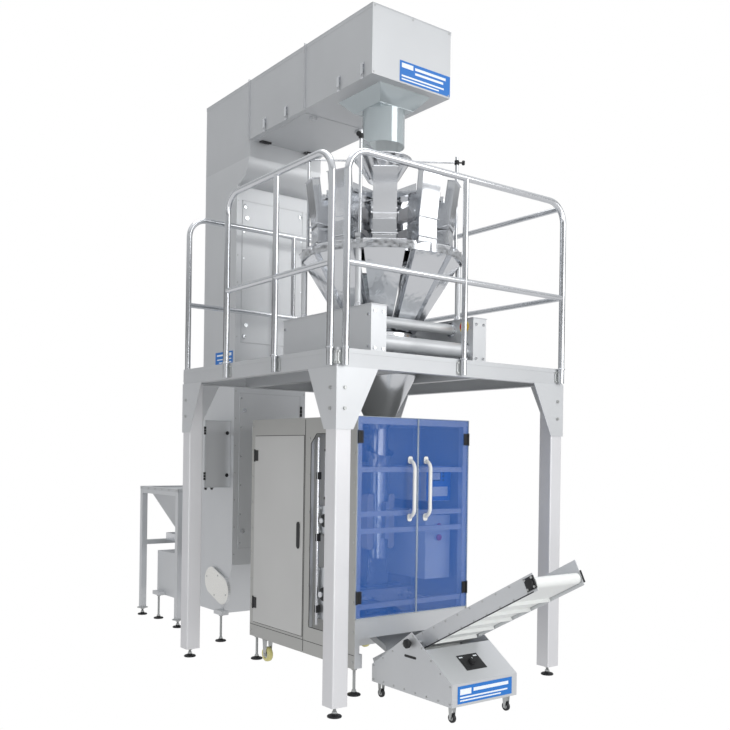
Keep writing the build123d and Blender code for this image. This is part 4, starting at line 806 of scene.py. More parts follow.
@dataclass
class Feet:
    """Levelling feet under every machine: nylon pad, threaded spindle and lock nut."""

    pad: float = 40
    spindle: float = 9
    thread: float = 2.5

    def build(self) -> None:
        """Build the pads and the spindles where the CAD node has them."""
        pads, screws = Shape(), Shape()
        for x, y, low, high in clusters("levelling_feet", 0.1):
            r = self.pad * MM
            pads.lathe([(r * 0.96, 0), (r, 0.002), (r, 0.007), (r * 0.9, 0.011), (r * 0.45, 0.015),
                        (r * 0.35, 0.022)],
                       (x, y, low))
            turns = max(int((high - low - 0.022) / (self.thread * MM)), 2)
            z = np.linspace(0.02, high - low, turns * 2)
            radii = self.spindle * MM * np.where(np.arange(len(z)) % 2, 1.0, 0.9)
            screws.lathe(list(zip(radii, z)), (x, y, low), steps=24)
            nut = min(0.012, (high - low) / 5)
            screws.hexagon((x, y, high - nut), (0, 0, 1), 0.027, nut * 0.95)
            screws.hexagon((x, y, low + 0.022), (0, 0, 1), 0.025, nut * 0.8)
        pads.make("levelling_pads", BLACK_NYLON, ROOT, "levelling_foot", ("levelling_feet",), bevel=0.6)
        screws.make("levelling_spindles", ZINC, ROOT, "levelling_foot")


def castor(tyres: Shape, metal: Shape, x: float, y: float, top: float, radius: float, width: float,
           bottom: float) -> None:
    """Add one castor to a shape of tyres and a shape of metalwork.

    Args:
        tyres: Shape that takes the tyre.
        metal: Shape that takes the fork, axle and plate.
        x: Middle of the wheel along X, in metres.
        y: Middle along Y.
        top: Height of the plate's seat.
        radius: The wheel's radius.
        width: The wheel's width.
        bottom: Height of the floor under it.
    """
    centre = np.array((x - width / 2, y, bottom + radius))
    crown = radius * 0.1
    tyres.lathe([(radius * 0.55, 0.0), (radius - crown, 0.0), (radius - crown * 0.3, width * 0.12),
                 (radius, width * 0.35), (radius, width * 0.65), (radius - crown * 0.3, width * 0.88),
                 (radius - crown, width), (radius * 0.55, width)], centre, (1, 0, 0), 48, closed=True)
    metal.lathe([(radius * 0.56, width * 0.1), (radius * 0.56, width * 0.9), (radius * 0.2, width * 1.05),
                 (radius * 0.2, -width * 0.05)], centre, (1, 0, 0), 32, closed=True)
    gap = width / 2 + 0.003
    high = top - 0.004
    for side in (-1, 1):
        cheek = x + side * gap
        outline = [(-radius * 0.28, -radius * 0.3), (radius * 0.28, -radius * 0.3),
                   (radius * 0.6, high - bottom - radius), (-radius * 0.6, high - bottom - radius)]
        metal.prism(outline, (cheek if side > 0 else cheek - 0.003, y, bottom + radius), (0, 1, 0), (0, 0, 1),
                    0.003)
        metal.hexagon((cheek + side * 0.003, y, bottom + radius), (side, 0, 0), radius * 0.32, radius * 0.12)
    metal.bar((x - gap, y, bottom + radius), (x + gap, y, bottom + radius), radius * 0.16)
    metal.block((x - gap - 0.003, x + gap + 0.003), (y - radius * 0.7, y + radius * 0.7),
                (high - 0.003, high))
    metal.lathe([(radius * 0.5, 0), (radius * 0.5, 0.004)], (x, y, high), steps=32)


def castors() -> None:
    """Build the bagger's and the take-off's castors."""
    for node, body, finish, slot in (("bagger_castors", ROOT, CREAM_PU, "castor_cream"),
                                     ("takeaway_castors", "takeaway", BLACK_NYLON, "black_plastic")):
        tyres, metal = Shape(), Shape()
        for x, y, low, high in clusters(node, 0.12):
            size = high - low
            radius = size * (0.325 if node == "bagger_castors" else 0.278)
            castor(tyres, metal, x, y, high, radius, radius * 0.7, low)
        tyres.make(node.replace("castors", "castor_tyres"), finish, body, slot, (node,), smooth=50)
        metal.make(node.replace("castors", "castor_forks"), ZINC, body, slot, bevel=0.6)


def at(x: float, y: float, z: float) -> np.ndarray:
    """Turn millimetres from the deck's front left corner and the floor into the row frame.

    Args:
        x: Distance to the right, in millimetres.
        y: Distance back.
        z: Height above the floor.

    Returns:
        The point in the row frame, in metres.
    """
    corner = span("deck_plate")
    return np.array((corner[0][0] + x * MM, corner[1][0] + y * MM, z * MM))


def box_at(shape: Shape, x: tuple, y: tuple, z: tuple) -> Shape:
    """Add a block given in millimetres from the deck's corner.

    Args:
        shape: Shape that takes the block.
        x: Its two X values, in millimetres.
        y: Its two Y values.
        z: Its two heights.

    Returns:
        The same shape.
    """
    low, high = at(x[0], y[0], z[0]), at(x[1], y[1], z[1])
    return shape.block(*zip(low, high))


def stadium(half_long: float, half_wide: float, steps: int = 12) -> list:
    """Outline of a slot: two half circles of the half width, joined by straight lines.

    Args:
        half_long: Half of its length, ends included.
        half_wide: Half of its width.
        steps: Points on each end.

    Returns:
        The outline as pairs.
    """
    t = np.linspace(-np.pi / 2, np.pi / 2, steps)
    end = half_long - half_wide
    right = np.column_stack((end + half_wide * np.cos(t), half_wide * np.sin(t)))
    return np.vstack((right, -right)).tolist()


# ------------------------------------------------------------------- weigher
@dataclass
class Weigher:
    """Ten head weigher: funnel, pans, hoppers, chutes and its base."""

    axis: tuple = (800, 660)
    heads: int = 10
    inner: float = 335
    radial: float = 110
    width: float = 140
    feed_z: float = 2805
    feed_height: float = 295
    lean: float = 8
    weigh_z: float = 2668
    weigh_height: float = 118
    rim: float = 185
    neck: float = 95
    rim_z: float = 3270
    neck_z: float = 3130
    rod: float = 10
    rod_circle: float = 470
    chute_top: tuple = (507, 2650)
    chute_bottom: tuple = (200, 2140)
    chute_widths: tuple = (258, 96)
    lip: float = 45

    def every_head(self, shape: Shape, one: Shape) -> Shape:
        """Repeat one head's piece round the axis.

        Args:
            shape: Shape that takes the copies.
            one: The piece of the head that lies along +X.

        Returns:
            The filled shape.
        """
        centre = at(*self.axis, 0)
        for index in range(self.heads):
            shape.join(one, math.radians(-90 + index * 360 / self.heads), (centre[0], centre[1]))
        return shape

    def head_point(self, r: float, side: float, z: float) -> np.ndarray:
        """Point of the head that lies along +X, before it is turned.

        Args:
            r: Distance from the axis, in millimetres.
            side: Distance to the side.
            z: Height above the floor.

        Returns:
            The point, in metres.
        """
        return at(self.axis[0] + r, self.axis[1] + side, z)

    def leaned(self, out: float, side: float, rise: float) -> np.ndarray:
        """Point in the feed hopper's own leaned frame.

        Args:
            out: Distance outward, in millimetres.
            side: Distance to the side.
            rise: Distance up the leaned wall.

        Returns:
            The point, in metres.
        """
        a = math.radians(self.lean)
        return self.head_point(self.inner + out * math.cos(a) + rise * math.sin(a), side,
                               self.feed_z - out * math.sin(a) + rise * math.cos(a))

    def funnel(self) -> None:
        """Build the infeed funnel with its rolled rim, its rods and clamp knobs."""
        centre = at(*self.axis, 0)
        t = np.linspace(-np.pi / 2, np.pi, 12)
        roll = 0.005
        outer = [(self.neck * MM, self.neck_z * MM), (self.rim * MM - roll, self.rim_z * MM - roll)]
        bead = list(zip(self.rim * MM - roll + roll * np.cos(t), self.rim_z * MM - roll + roll * np.sin(t)))
        inner = [(self.rim * MM - roll - 0.003, self.rim_z * MM - roll * 1.4),
                 (self.neck * MM - 0.002, self.neck_z * MM)]
        cone = Shape().lathe(outer + bead + inner, (centre[0], centre[1], 0), steps=96, closed=True)
        knobs = Shape()
        for angle in (216, -36, 144):
            way = np.array((math.cos(math.radians(angle)), math.sin(math.radians(angle)), 0))
            foot = centre + way * self.rod_circle * MM
            low, high = at(0, 0, 2690)[2], at(0, 0, 3300)[2]
            cone.bar((foot[0], foot[1], low), (foot[0], foot[1], high), self.rod * MM, 20, 0.002)
            arm_z = 3262 * MM
            rim_point = centre + way * (self.rim - 8) * MM
            cone.bar((foot[0], foot[1], arm_z), (rim_point[0], rim_point[1], arm_z), 0.0055, 16)
            knobs.lathe([(0.004, -0.014), (0.013, -0.014), (0.015, -0.01), (0.015, 0.01), (0.013, 0.014),
                         (0.004, 0.014)],
                        (foot[0], foot[1], arm_z), steps=24)
            knobs.lathe([(0.005, 0.0), (0.005, 0.02), (0.014, 0.022), (0.016, 0.03), (0.014, 0.038),
                         (0.0, 0.04)],
                        (foot[0] + way[0] * 0.012, foot[1] + way[1] * 0.012, arm_z), way, 20)
        cone.make("infeed_funnel_rolled", POLISHED, ROOT, POLISH_SLOT, ("infeed_funnel",), smooth=40)
        knobs.make("funnel_clamp_knobs", BLACK_NYLON, ROOT, "black_plastic", smooth=45)

    def hopper_trim(self) -> None:
        """Build the folded rims, hinge rods, gate arms and rollers of the hoppers."""
        trim = Shape()
        half, out, top = self.width / 2, self.radial, self.feed_height

        def strip(a: tuple, b: tuple, c: tuple, d: tuple, thick: np.ndarray) -> None:
            """Add a flat strip with four leaned corners and a thickness.

            Args:
                a: First corner in the hopper's leaned frame, in millimetres.
                b: Second corner.
                c: Third corner.
                d: Fourth corner.
                thick: Its thickness as a vector, in metres.
            """
            lower = np.array([self.leaned(*p) for p in (a, b, c, d)])
            points = np.vstack((lower, lower + thick))
            trim.add(points, [(0, 1, 2, 3), (7, 6, 5, 4), (0, 4, 5, 1), (1, 5, 6, 2), (2, 6, 7, 3),
                              (3, 7, 4, 0)])

        rise = np.array((math.sin(math.radians(self.lean)), 0, math.cos(math.radians(self.lean)))) * 0.0016
        lip = 9
        strip((out, -half, top), (out + lip, -half - 2, top), (out + lip, half + 2, top), (out, half, top),
              -rise)
        for side in (-1, 1):
            strip((60, side * half, top), (out, side * half, top), (out, side * (half + lip), top),
                  (60, side * (half + lip), top), -rise)
            strip((60, side * half, 155), (64, side * half, 155), (64, side * (half + 3), top),
                  (60, side * (half + 3), top), -rise * 0.8)
        for z in (0, 22):
            strip((out, -half, z), (out + 2, -half, z), (out + 2, half, z), (out, half, z), rise * 3)
        trim.bar(self.leaned(out + 4, -half - 6, 26), self.leaned(out + 4, half + 6, 26), 0.004, 14, 0.001)
        for side in (-1, 1):
            trim.bar(self.leaned(out + 4, side * (half + 5), 26),
                     self.leaned(out * 0.45, side * (half + 5), -2), 0.0035, 12)
            trim.hexagon(self.leaned(out + 4, side * (half + 6), 26), (0, side, 0), 0.012, 0.005)
            trim.hexagon(self.leaned(out * 0.5, side * half, 60), (0, side, 0), 0.013, 0.006)
        low = self.weigh_z
        for side in (-1, 1):
            a = self.head_point(self.inner + out + 3, side * (half + 5), low + 30)
            b = self.head_point(self.inner + out * 0.5, side * (half + 5), low - 2)
            trim.bar(a, b, 0.0035, 12)
            trim.hexagon(self.head_point(self.inner + out * 0.5, side * half, low + 60), (0, side, 0), 0.013,
                         0.006)
        trim.bar(self.head_point(self.inner + out + 3, -half - 6, low + 30),
                 self.head_point(self.inner + out + 3, half + 6, low + 30), 0.004, 14)
        for z in (2, 22, self.weigh_height - 4):
            p = self.head_point(self.inner + out, -half, low + z)
            q = self.head_point(self.inner + out + 2, half, low + z + 3)
            trim.block((p[0], q[0]), (p[1], q[1]), (p[2], q[2]))
        whole = self.every_head(Shape(), trim)
        whole.make("hopper_rims_and_arms", POLISHED, ROOT, POLISH_SLOT, smooth=35)

    def drives(self) -> None:
        """Build the drive boxes on the weigher's body and the pushers that open the gates."""
        one, black = Shape(), Shape()
        p, q = self.head_point(222, -38, 2690), self.head_point(300, 38, 2770)
        one.block((p[0], q[0]), (p[1], q[1]), (p[2], q[2]))
        p, q = self.head_point(222, -34, 2838), self.head_point(292, 34, 2905)
        one.block((p[0], q[0]), (p[1], q[1]), (p[2], q[2]))
        for z in (2712, 2856):
            for side in (-22, 22):
                one.bar(self.head_point(290, side, z), self.head_point(self.inner - 4, side, z), 0.005, 14,
                        0.001)
                black.lathe([(0.0, 0.0), (0.010, 0.001), (0.011, 0.004), (0.011, 0.009), (0.0, 0.010)],
                            self.head_point(self.inner - 12, side, z), (1, 0, 0), 20)
        self.every_head(Shape(), one).make("hopper_drives", BLASTED_TUBE, ROOT, POLISH_SLOT, bevel=2)
        self.every_head(Shape(), black).make("drive_rollers", BLACK_NYLON, ROOT, "black_plastic", smooth=45)

    def chute_trim(self) -> None:
        """Build the rolled edges of the chutes and the studs that hold them to the band."""
        one = Shape()
        top_r, top_z = self.chute_top
        low_r, low_z = self.chute_bottom
        run = np.array((low_r - top_r, 0, low_z - top_z))
        inward = unit(np.array((run[2], 0, -run[0]))) * self.lip
        if inward[0] > 0:
            inward = -inward
        for side in (-1, 1):
            a = self.head_point(top_r + inward[0], side * (self.chute_widths[0] / 2 - 1), top_z + inward[2])
            b = self.head_point(low_r + inward[0], side * (self.chute_widths[1] / 2 - 1), low_z + inward[2])
            one.bar(a + (b - a) * 0.01, b - (b - a) * 0.01, 0.003, 12, 0.0005)
        a = self.head_point(top_r, -self.chute_widths[0] / 2 + 2, top_z)
        b = self.head_point(top_r, self.chute_widths[0] / 2 - 2, top_z)
        one.bar(a, b, 0.0032, 12, 0.001)
        for side in (-60, 60):
            one.hexagon(self.head_point(top_r - 11, side, top_z - 22), (0.86, 0, 0.5), 0.017, 0.007)
            one.bar(self.head_point(top_r - 12, side, top_z - 22),
                    self.head_point(top_r - 7, side, top_z - 19), 0.012, 20)
        self.every_head(Shape(), one).make("chute_edges_and_studs", POLISHED, ROOT, POLISH_SLOT, smooth=35)

    def base(self) -> None:
        """Build the base boxes' lids, screws, post collars and the stop button's yellow ring."""
        lids, screws = Shape(), Shape()
        for x in ((350, 460), (1140, 1250)):
            box_at(lids, (x[0] - 4, x[1] + 4), (166, 1104), (2246, 2252))
            box_at(lids, (x[0] - 3, x[1] + 3), (167, 1103), (1961, 1969))
            for y in np.linspace(200, 1070, 7):
                for side in (x[0] + 12, x[1] - 12):
                    screws.hexagon(at(side, y, 2252), UP, 0.011, 0.004)
            for corner in (195, 1075):
                screws.hexagon(at(x[0], corner, 2190), (-1, 0, 0), 0.015, 0.006)
                screws.hexagon(at(x[0], corner, 2010), (-1, 0, 0), 0.015, 0.006)
            for z in (2000, 2210):
                screws.hexagon(at(middle(x) - 30, 170, z), (0, -1, 0), 0.015, 0.006)
                screws.hexagon(at(middle(x) + 30, 170, z), (0, -1, 0), 0.015, 0.006)
        for sx in (-395, 395):
            for sy in (-287, 287):
                screws.lathe([(0.0185, 0), (0.031, 0), (0.031, 0.006), (0.023, 0.012), (0.0185, 0.03)],
                             at(800 + sx, 660 + sy, 2252), steps=36)
                screws.lathe([(0.0185, 0), (0.026, 0.004), (0.026, 0.022), (0.0185, 0.026)],
                             at(800 + sx, 660 + sy, 2628), steps=36)
        for y, z, r in ((250, 2050, 45), (1070, 2050, 45), (368, 2192, 33)):
            for x, way in ((460, 1), (1140, -1)):
                screws.lathe([(r * MM, 0), ((r + 14) * MM, 0), ((r + 14) * MM, 0.004), ((r + 1) * MM, 0.006),
                              (r * MM, 0.012)], at(x, y, z), (way, 0, 0), 48)
        lids.make("weigher_base_lids", BRUSHED_ACROSS, ROOT, SHEET_SLOT, bevel=1)
        screws.make("weigher_base_fasteners", POLISHED, ROOT, POLISH_SLOT, smooth=35)
        ring_shape = Shape().lathe([(0.0265, -0.001), (0.040, -0.001), (0.041, 0.001), (0.039, 0.0035),
                                    (0.0265, 0.004)],
                                   at(1140, 250, 2200), (-1, 0, 0), 48, closed=True)
        ring_shape.make("stop_ring_yellow", YELLOW_ABS, ROOT, "red_button", smooth=45)

    def build(self) -> None:
        """Build every piece of the weigher."""
        self.funnel()
        self.hopper_trim()
        self.drives()
        self.chute_trim()
        self.base()


# -------------------------------------------------------------------- bagger
@dataclass
class Bagger:
    """Bagging machine: housing, doors, film path and the made bag."""

    left: float = 360
    right: float = 1240
    front: float = 300
    axis: tuple = (800, 660)
    film: float = 58.0        # radius of the film tube
    flat_half: float = 91     # half of the flattened tube, a quarter of its girth
    film_top: float = 1340
    film_end: float = 385
    seal_above: float = 66    # flat from this far above the jaws' middle
    seal_below: float = 62    # to this far below it
    web_width: float = 384
    jaw_z: float = 510
    bag_top: float = 744

    def doors(self) -> None:
        """Build the door seals, hinges and bow handles."""
        for name, body, x, hinge, node in (("left", "door_left", (363.3, 819), 363, "handle_left"),
                                           ("right", "door_right", (821, 1236.7), 1237, "handle_right")):
            seal = Shape()
            for side in (x[0], x[1] - 4):
                box_at(seal, (side, side + 4), (297.5, 305.5), (449, 1620))
            box_at(seal, x, (297.5, 305.5), (446.5, 451))
            box_at(seal, x, (297.5, 305.5), (1616, 1620.5))
            seal.make(f"door_edge_{name}", ACRYLIC, body, "blue_clear", bevel=0.8)
            plates = Shape()
            way = 1 if name == "left" else -1
            for z in (530, 1460):
                spread = sorted((hinge + way * 4, hinge + way * 42))
                box_at(plates, spread, (297, 300), (z + 4, z + 76))
                for dz in (18, 40, 62):
                    plates.hexagon(at(hinge + way * 28, 297, z + dz), (0, -1, 0), 0.009, 0.003)
                plates.bar(at(hinge + way * 5, 295, z + 2), at(hinge + way * 5, 295, z + 78), 0.0056, 20,
                           0.001)
            plates.make(f"door_hinges_{name}", BLACK_NYLON, body, "black_plastic", bevel=0.6)
            centre = 758 if name == "left" else 882
            bow = Shape()
            path = rounded([at(centre, 301, 1022), at(centre, 255, 1045), at(centre, 255, 1345),
                            at(centre, 301, 1368)],
                           0.03, 10)
            bow.pipe(path, 0.0115, 24)
            for z in (1022, 1368):
                flat = ring(0.034, 0.044, 0.012, (0, 0, 0), 6)
                outline = [(p[0], p[1]) for p in flat]
                bow.prism(outline, at(centre, 300, z), (1, 0, 0), (0, 0, 1), 0.005)
            bow.make(f"bow_handle_{name}", WHITE_ABS, body, "white_handle", (node,), bevel=1, smooth=50)

    def housing(self) -> None:
        """Build panel screws, seams, the bay's edging and what is bolted inside it."""
        screws, seams = Shape(), Shape()
        for z in np.linspace(200, 1580, 9):
            for y in (316, 1484):
                screws.hexagon(at(self.left, y, z), (-1, 0, 0), 0.011, 0.004)
                screws.hexagon(at(self.right, y, z), (1, 0, 0), 0.011, 0.004)
        for y in (412, 788):
            for z in np.linspace(360, 1490, 6):
                screws.hexagon(at(self.left, y, z), (-1, 0, 0), 0.011, 0.004)
        edge = [(425, 330), (425, 1520), (715, 1520), (775, 1460), (775, 330)]
        for a, b in zip(edge, edge[1:] + edge[:1]):
            seams.bar(at(self.left, *a), at(self.left, *b), 0.0022, 10)
        box_at(seams, (358.8, 360.2), (838, 842), (170, 1610))
        box_at(seams, (359.2, 360.2), (302, 1498), (238, 241))
        screws.make("panel_screws", ZINC, ROOT, "bagger_sheet", smooth=35)
        seams.make("panel_seams", BLACK_NYLON, ROOT, "bagger_sheet")
        self.side_door()
        self.bay()

    def side_door(self) -> None:
        """Build the side door's dark gasket line, pull and hinges."""
        gasket = Shape()
        for a, b in (((850, 258), (850, 1512)), ((850, 1512), (1452, 1512)), ((1452, 1512), (1452, 258)),
                     ((1452, 258), (850, 258))):
            gasket.bar(at(359.4, *a), at(359.4, *b), 0.0016, 8)
        gasket.make("side_door_gasket", BLACK_NYLON, ROOT, "bagger_sheet")
        cup = Shape()
        outline = stadium(0.085, 0.02)
        cup.prism(outline, at(354.2, 902, 885), (0, 0, 1), (0, 1, 0), 0.0018)
        cup.make("side_door_pull", BLACK_NYLON, "cabinet_side_door", "black_plastic", bevel=0.8)
        pins = Shape()
        for z in (350, 1340):
            pins.bar(at(355, 1455, z - 2), at(355, 1455, z + 82), 0.0058, 20, 0.001)
            box_at(pins, (354, 357.4), (1412, 1450), (z + 4, z + 76))
        pins.make("side_door_hinges", BLACK_NYLON, "cabinet_side_door", "black_plastic", bevel=0.6)

    def bay(self) -> None:
        """Build the mechanism in the side bay: plates, shafts, bearings and a cylinder."""
        pale, steel, black = Shape(), Shape(), Shape()
        for y, z in (((440, 560), (1120, 1480)), ((600, 760), (900, 1080)), ((440, 590), (560, 820)),
                     ((600, 765), (380, 700))):
            box_at(pale, (412, 420), y, z)
            for a in (y[0] + 14, y[1] - 14):
                for b in (z[0] + 16, z[1] - 16, sum(z) / 2):
                    steel.hexagon(at(412, a, b), (-1, 0, 0), 0.017, 0.009)
        for y, z, r in ((500, 1300, 14), (680, 990, 16), (515, 690, 12), (680, 540, 18)):
            steel.bar(at(372, y, z), at(420, y, z), r * MM, 28, 0.002)
            black.lathe([(r * MM, 0), ((r + 22) * MM, 0), ((r + 24) * MM, 0.003), ((r + 24) * MM, 0.014),
                         ((r + 16) * MM, 0.018), (r * MM, 0.018)], at(411, y, z), (-1, 0, 0), 40)
        for y in (455, 740):
            steel.bar(at(392, y, 345), at(392, y, 1500), 0.009, 24, 0.002)
        steel.bar(at(396, 640, 1130), at(396, 640, 1420), 0.021, 32, 0.002)
        steel.bar(at(396, 640, 1060), at(396, 640, 1130), 0.007, 20, 0.001)
        for z in (1130, 1420):
            black.bar(at(396, 640, z - 8), at(396, 640, z + 8), 0.025, 32, 0.002)
        for z in (420, 860, 1240):
            black.block(*zip(at(384, 443, z), at(408, 467, z + 46)))
            black.block(*zip(at(384, 728, z), at(408, 752, z + 46)))
        pale.make("bay_plates", MACHINED, ROOT, SHEET_SLOT, bevel=1.5)
        steel.make("bay_shafts_and_bolts", POLISHED, ROOT, SHEET_SLOT, smooth=35)
        black.make("bay_bearings", BLACK_NYLON, ROOT, "black_plastic", bevel=1, smooth=40)

    def collar(self) -> None:
        """Build the forming shoulder: a surface that leads the flat web round the tube.

        Along its rim angle a runs round the tube; the neck's height rises as (1 - cos a) / 2 and the
        wing spreads outward and back as the square of the way up.
        """
        a = np.linspace(-np.pi, np.pi, 73)[None]
        t = np.linspace(0, 1, 20)[:, None]
        back = (1 + np.sin(a)) / 2
        radius = 63 + 64 * t ** 1.7 * (0.35 + 0.65 * back)
        z = 1330 + (60 + 70 * back) * t
        x = self.axis[0] + radius * np.cos(a)
        y = self.axis[1] + radius * np.sin(a)
        corner = at(0, 0, 0)
        outer = np.stack((corner[0] + x * MM, corner[1] + y * MM, np.broadcast_to(z, x.shape) * MM), axis=-1)
        shape = Shape().grid(outer)
        shape.make("forming_shoulder", POLISHED, ROOT, POLISH_SLOT, ("forming_collar",), smooth=60)
        bracket = Shape()
        box_at(bracket, (742, 858), (722, 800), (1330, 1350))
        bracket.make("shoulder_bracket", MACHINED, ROOT, POLISH_SLOT, bevel=1.5)

    def film_bag(self) -> None:
        """Build the film round the tube and the bag it becomes between the jaws.

        The section goes from a circle to a flat lens: x = w cos a and y = d sin a, where w grows
        and d falls smoothly with s, the way down. Creases are sines along the section and down it.
        """
        corner = at(0, 0, 0)
        a = np.linspace(0, 2 * np.pi, 145)[None, :-1]
        z = np.linspace(self.film_top, self.film_end, 150)[:, None]
        s = np.clip((self.bag_top + 10 - z) / (self.bag_top + 10 - self.jaw_z - self.seal_above), 0, 1)
        ease = s * s * (3 - 2 * s)
        below = np.clip((self.jaw_z - self.seal_below - z) / 40, 0, 1)
        belly = np.sin(np.pi * np.clip((self.jaw_z - self.seal_below - z) / 63, 0, 1)) ** 1.4
        wide = self.film + (self.flat_half - self.film) * ease - 8 * belly
        deep = self.film + (0.6 - self.film) * ease + 20 * belly
        crease = (0.02 * np.sin(9 * a + 6 * s) + 0.012 * np.sin(17 * a - 0.05 * z)) * (s * (1 - s) * 4
                                                                                       + below * belly)
        x = corner[0] + (self.axis[0] + wide * np.cos(a) * (1 + crease)) * MM
        y = corner[1] + (self.axis[1] + deep * np.sin(a) * (1 + 2.2 * crease)) * MM
        keep = np.broadcast_to(z, x.shape) * MM
        piece = Shape().grid(np.stack((x, y, keep), axis=-1), close_v=True).make(
            "film_tube_and_bag", CLEAR_FILM, ROOT, "film", smooth=70)

    def web(self) -> None:
        """Build the flat film web from the reel over the rollers to the shoulder.

        It is a sheet through the rollers' tangent points, with a faint sine ripple across.
        """
        path = np.array([at(0, y, z) for y,
                         z in ((1352, 480), (1345, 800), (1272, 1108), (1250, 1121), (1120, 1180),
                                                  (1080, 1201), (930, 1201), (905, 1240), (808, 1440))])
        half = self.web_width / 2
        across = np.linspace(self.axis[0] - half, self.axis[0] + half, 41)
        rows = np.repeat(path[:, None, :], len(across), axis=1)
        rows[:, :, 0] = at(0, 0, 0)[0] + across * MM
        rows[:, :, 2] += 0.0012 * np.sin(across / 31)[None]
        piece = Shape().grid(rows).make("film_web", CLEAR_FILM, ROOT, "film", smooth=60)

    def jaws(self) -> None:
        """Build the jaws' serrated sealing faces, and the screws and stub bars behind them."""
        for body, y, way, name in (("jaw_front", 620, 1, "front"), ("jaw_rear", 700, -1, "rear")):
            teeth = Shape()
            for band in ((468, 500), (520, 552)):
                z = np.linspace(band[0], band[1], 65)
                out = (1 - np.abs(((z - band[0]) / 2) % 2 - 1))
                rows = np.array([[at(px, y + way * (out[i] * 0.9 + 0.1), z[i]) for px in (590, 1010)]
                                 for i in range(len(z))])
                teeth.grid(rows)
            teeth.make(f"jaw_serration_{name}", MACHINED, body, "machined_aluminium", smooth=5)
            screws = Shape()
            face = y - way * 60
            for x in (620, 980):
                screws.hexagon(at(x, face, 535), (0, -way, 0), 0.017, 0.01)
                screws.hexagon(at(x, face, 485), (0, -way, 0), 0.017, 0.01)
            for x in (690, 910):
                screws.bar(at(x, face, 510), at(x, face - way * 22, 510), 0.009, 24, 0.002)
            screws.make(f"jaw_screws_{name}", ZINC, body, "machined_aluminium", smooth=35)

    def boxes(self) -> None:
        """Build the upper box's blue front and display, the lower box's cover and the glands."""
        blue, dark, pale = Shape(), Shape(), Shape()
        box_at(blue, (992, 1195), (416, 420), (1112, 1328))
        box_at(dark, (1018, 1108), (413.5, 416), (1236, 1296))
        box_at(pale, (1024, 1102), (412.8, 413.5), (1244, 1288))
        for k in range(3):
            dark.lathe([(0.0, 0.0), (0.008, 0.0), (0.008, 0.004), (0.0, 0.005)], at(1130, 416, 1290 - k * 24),
                       (0, -1, 0), 20)
        box_at(pale, (1020, 1168), (414.6, 416), (1140, 1200))
        blue.make("drive_box_front", BLUE_ENAMEL, ROOT, "white_enamel", bevel=3)
        dark.make("drive_box_bezel", BLACK_NYLON, ROOT, "black_plastic", bevel=1)
        pale.make("drive_box_display", WHITE_VINYL, ROOT, "white_enamel", bevel=0.3)
        cover = Shape()
        box_at(cover, (992, 1195), (417, 420), (622, 846))
        cover.make("lower_box_cover", ENAMEL, ROOT, "white_enamel", bevel=2)
        glands = Shape()
        for x in (1020, 1060, 1100, 1140):
            glands.lathe([(0.0, 0.0), (0.014, 0.0), (0.014, 0.010), (0.010, 0.014), (0.009, 0.022),
                          (0.0, 0.023)],
                         at(x, 600, 1020), UP, 20)
        glands.make("cable_glands", BLACK_NYLON, ROOT, "black_plastic", smooth=35)

    def build(self) -> None:
        """Build every piece of the bagger."""
        self.doors()
        self.housing()
        self.collar()
        self.film_bag()
        self.web()
        self.jaws()
        self.boxes()


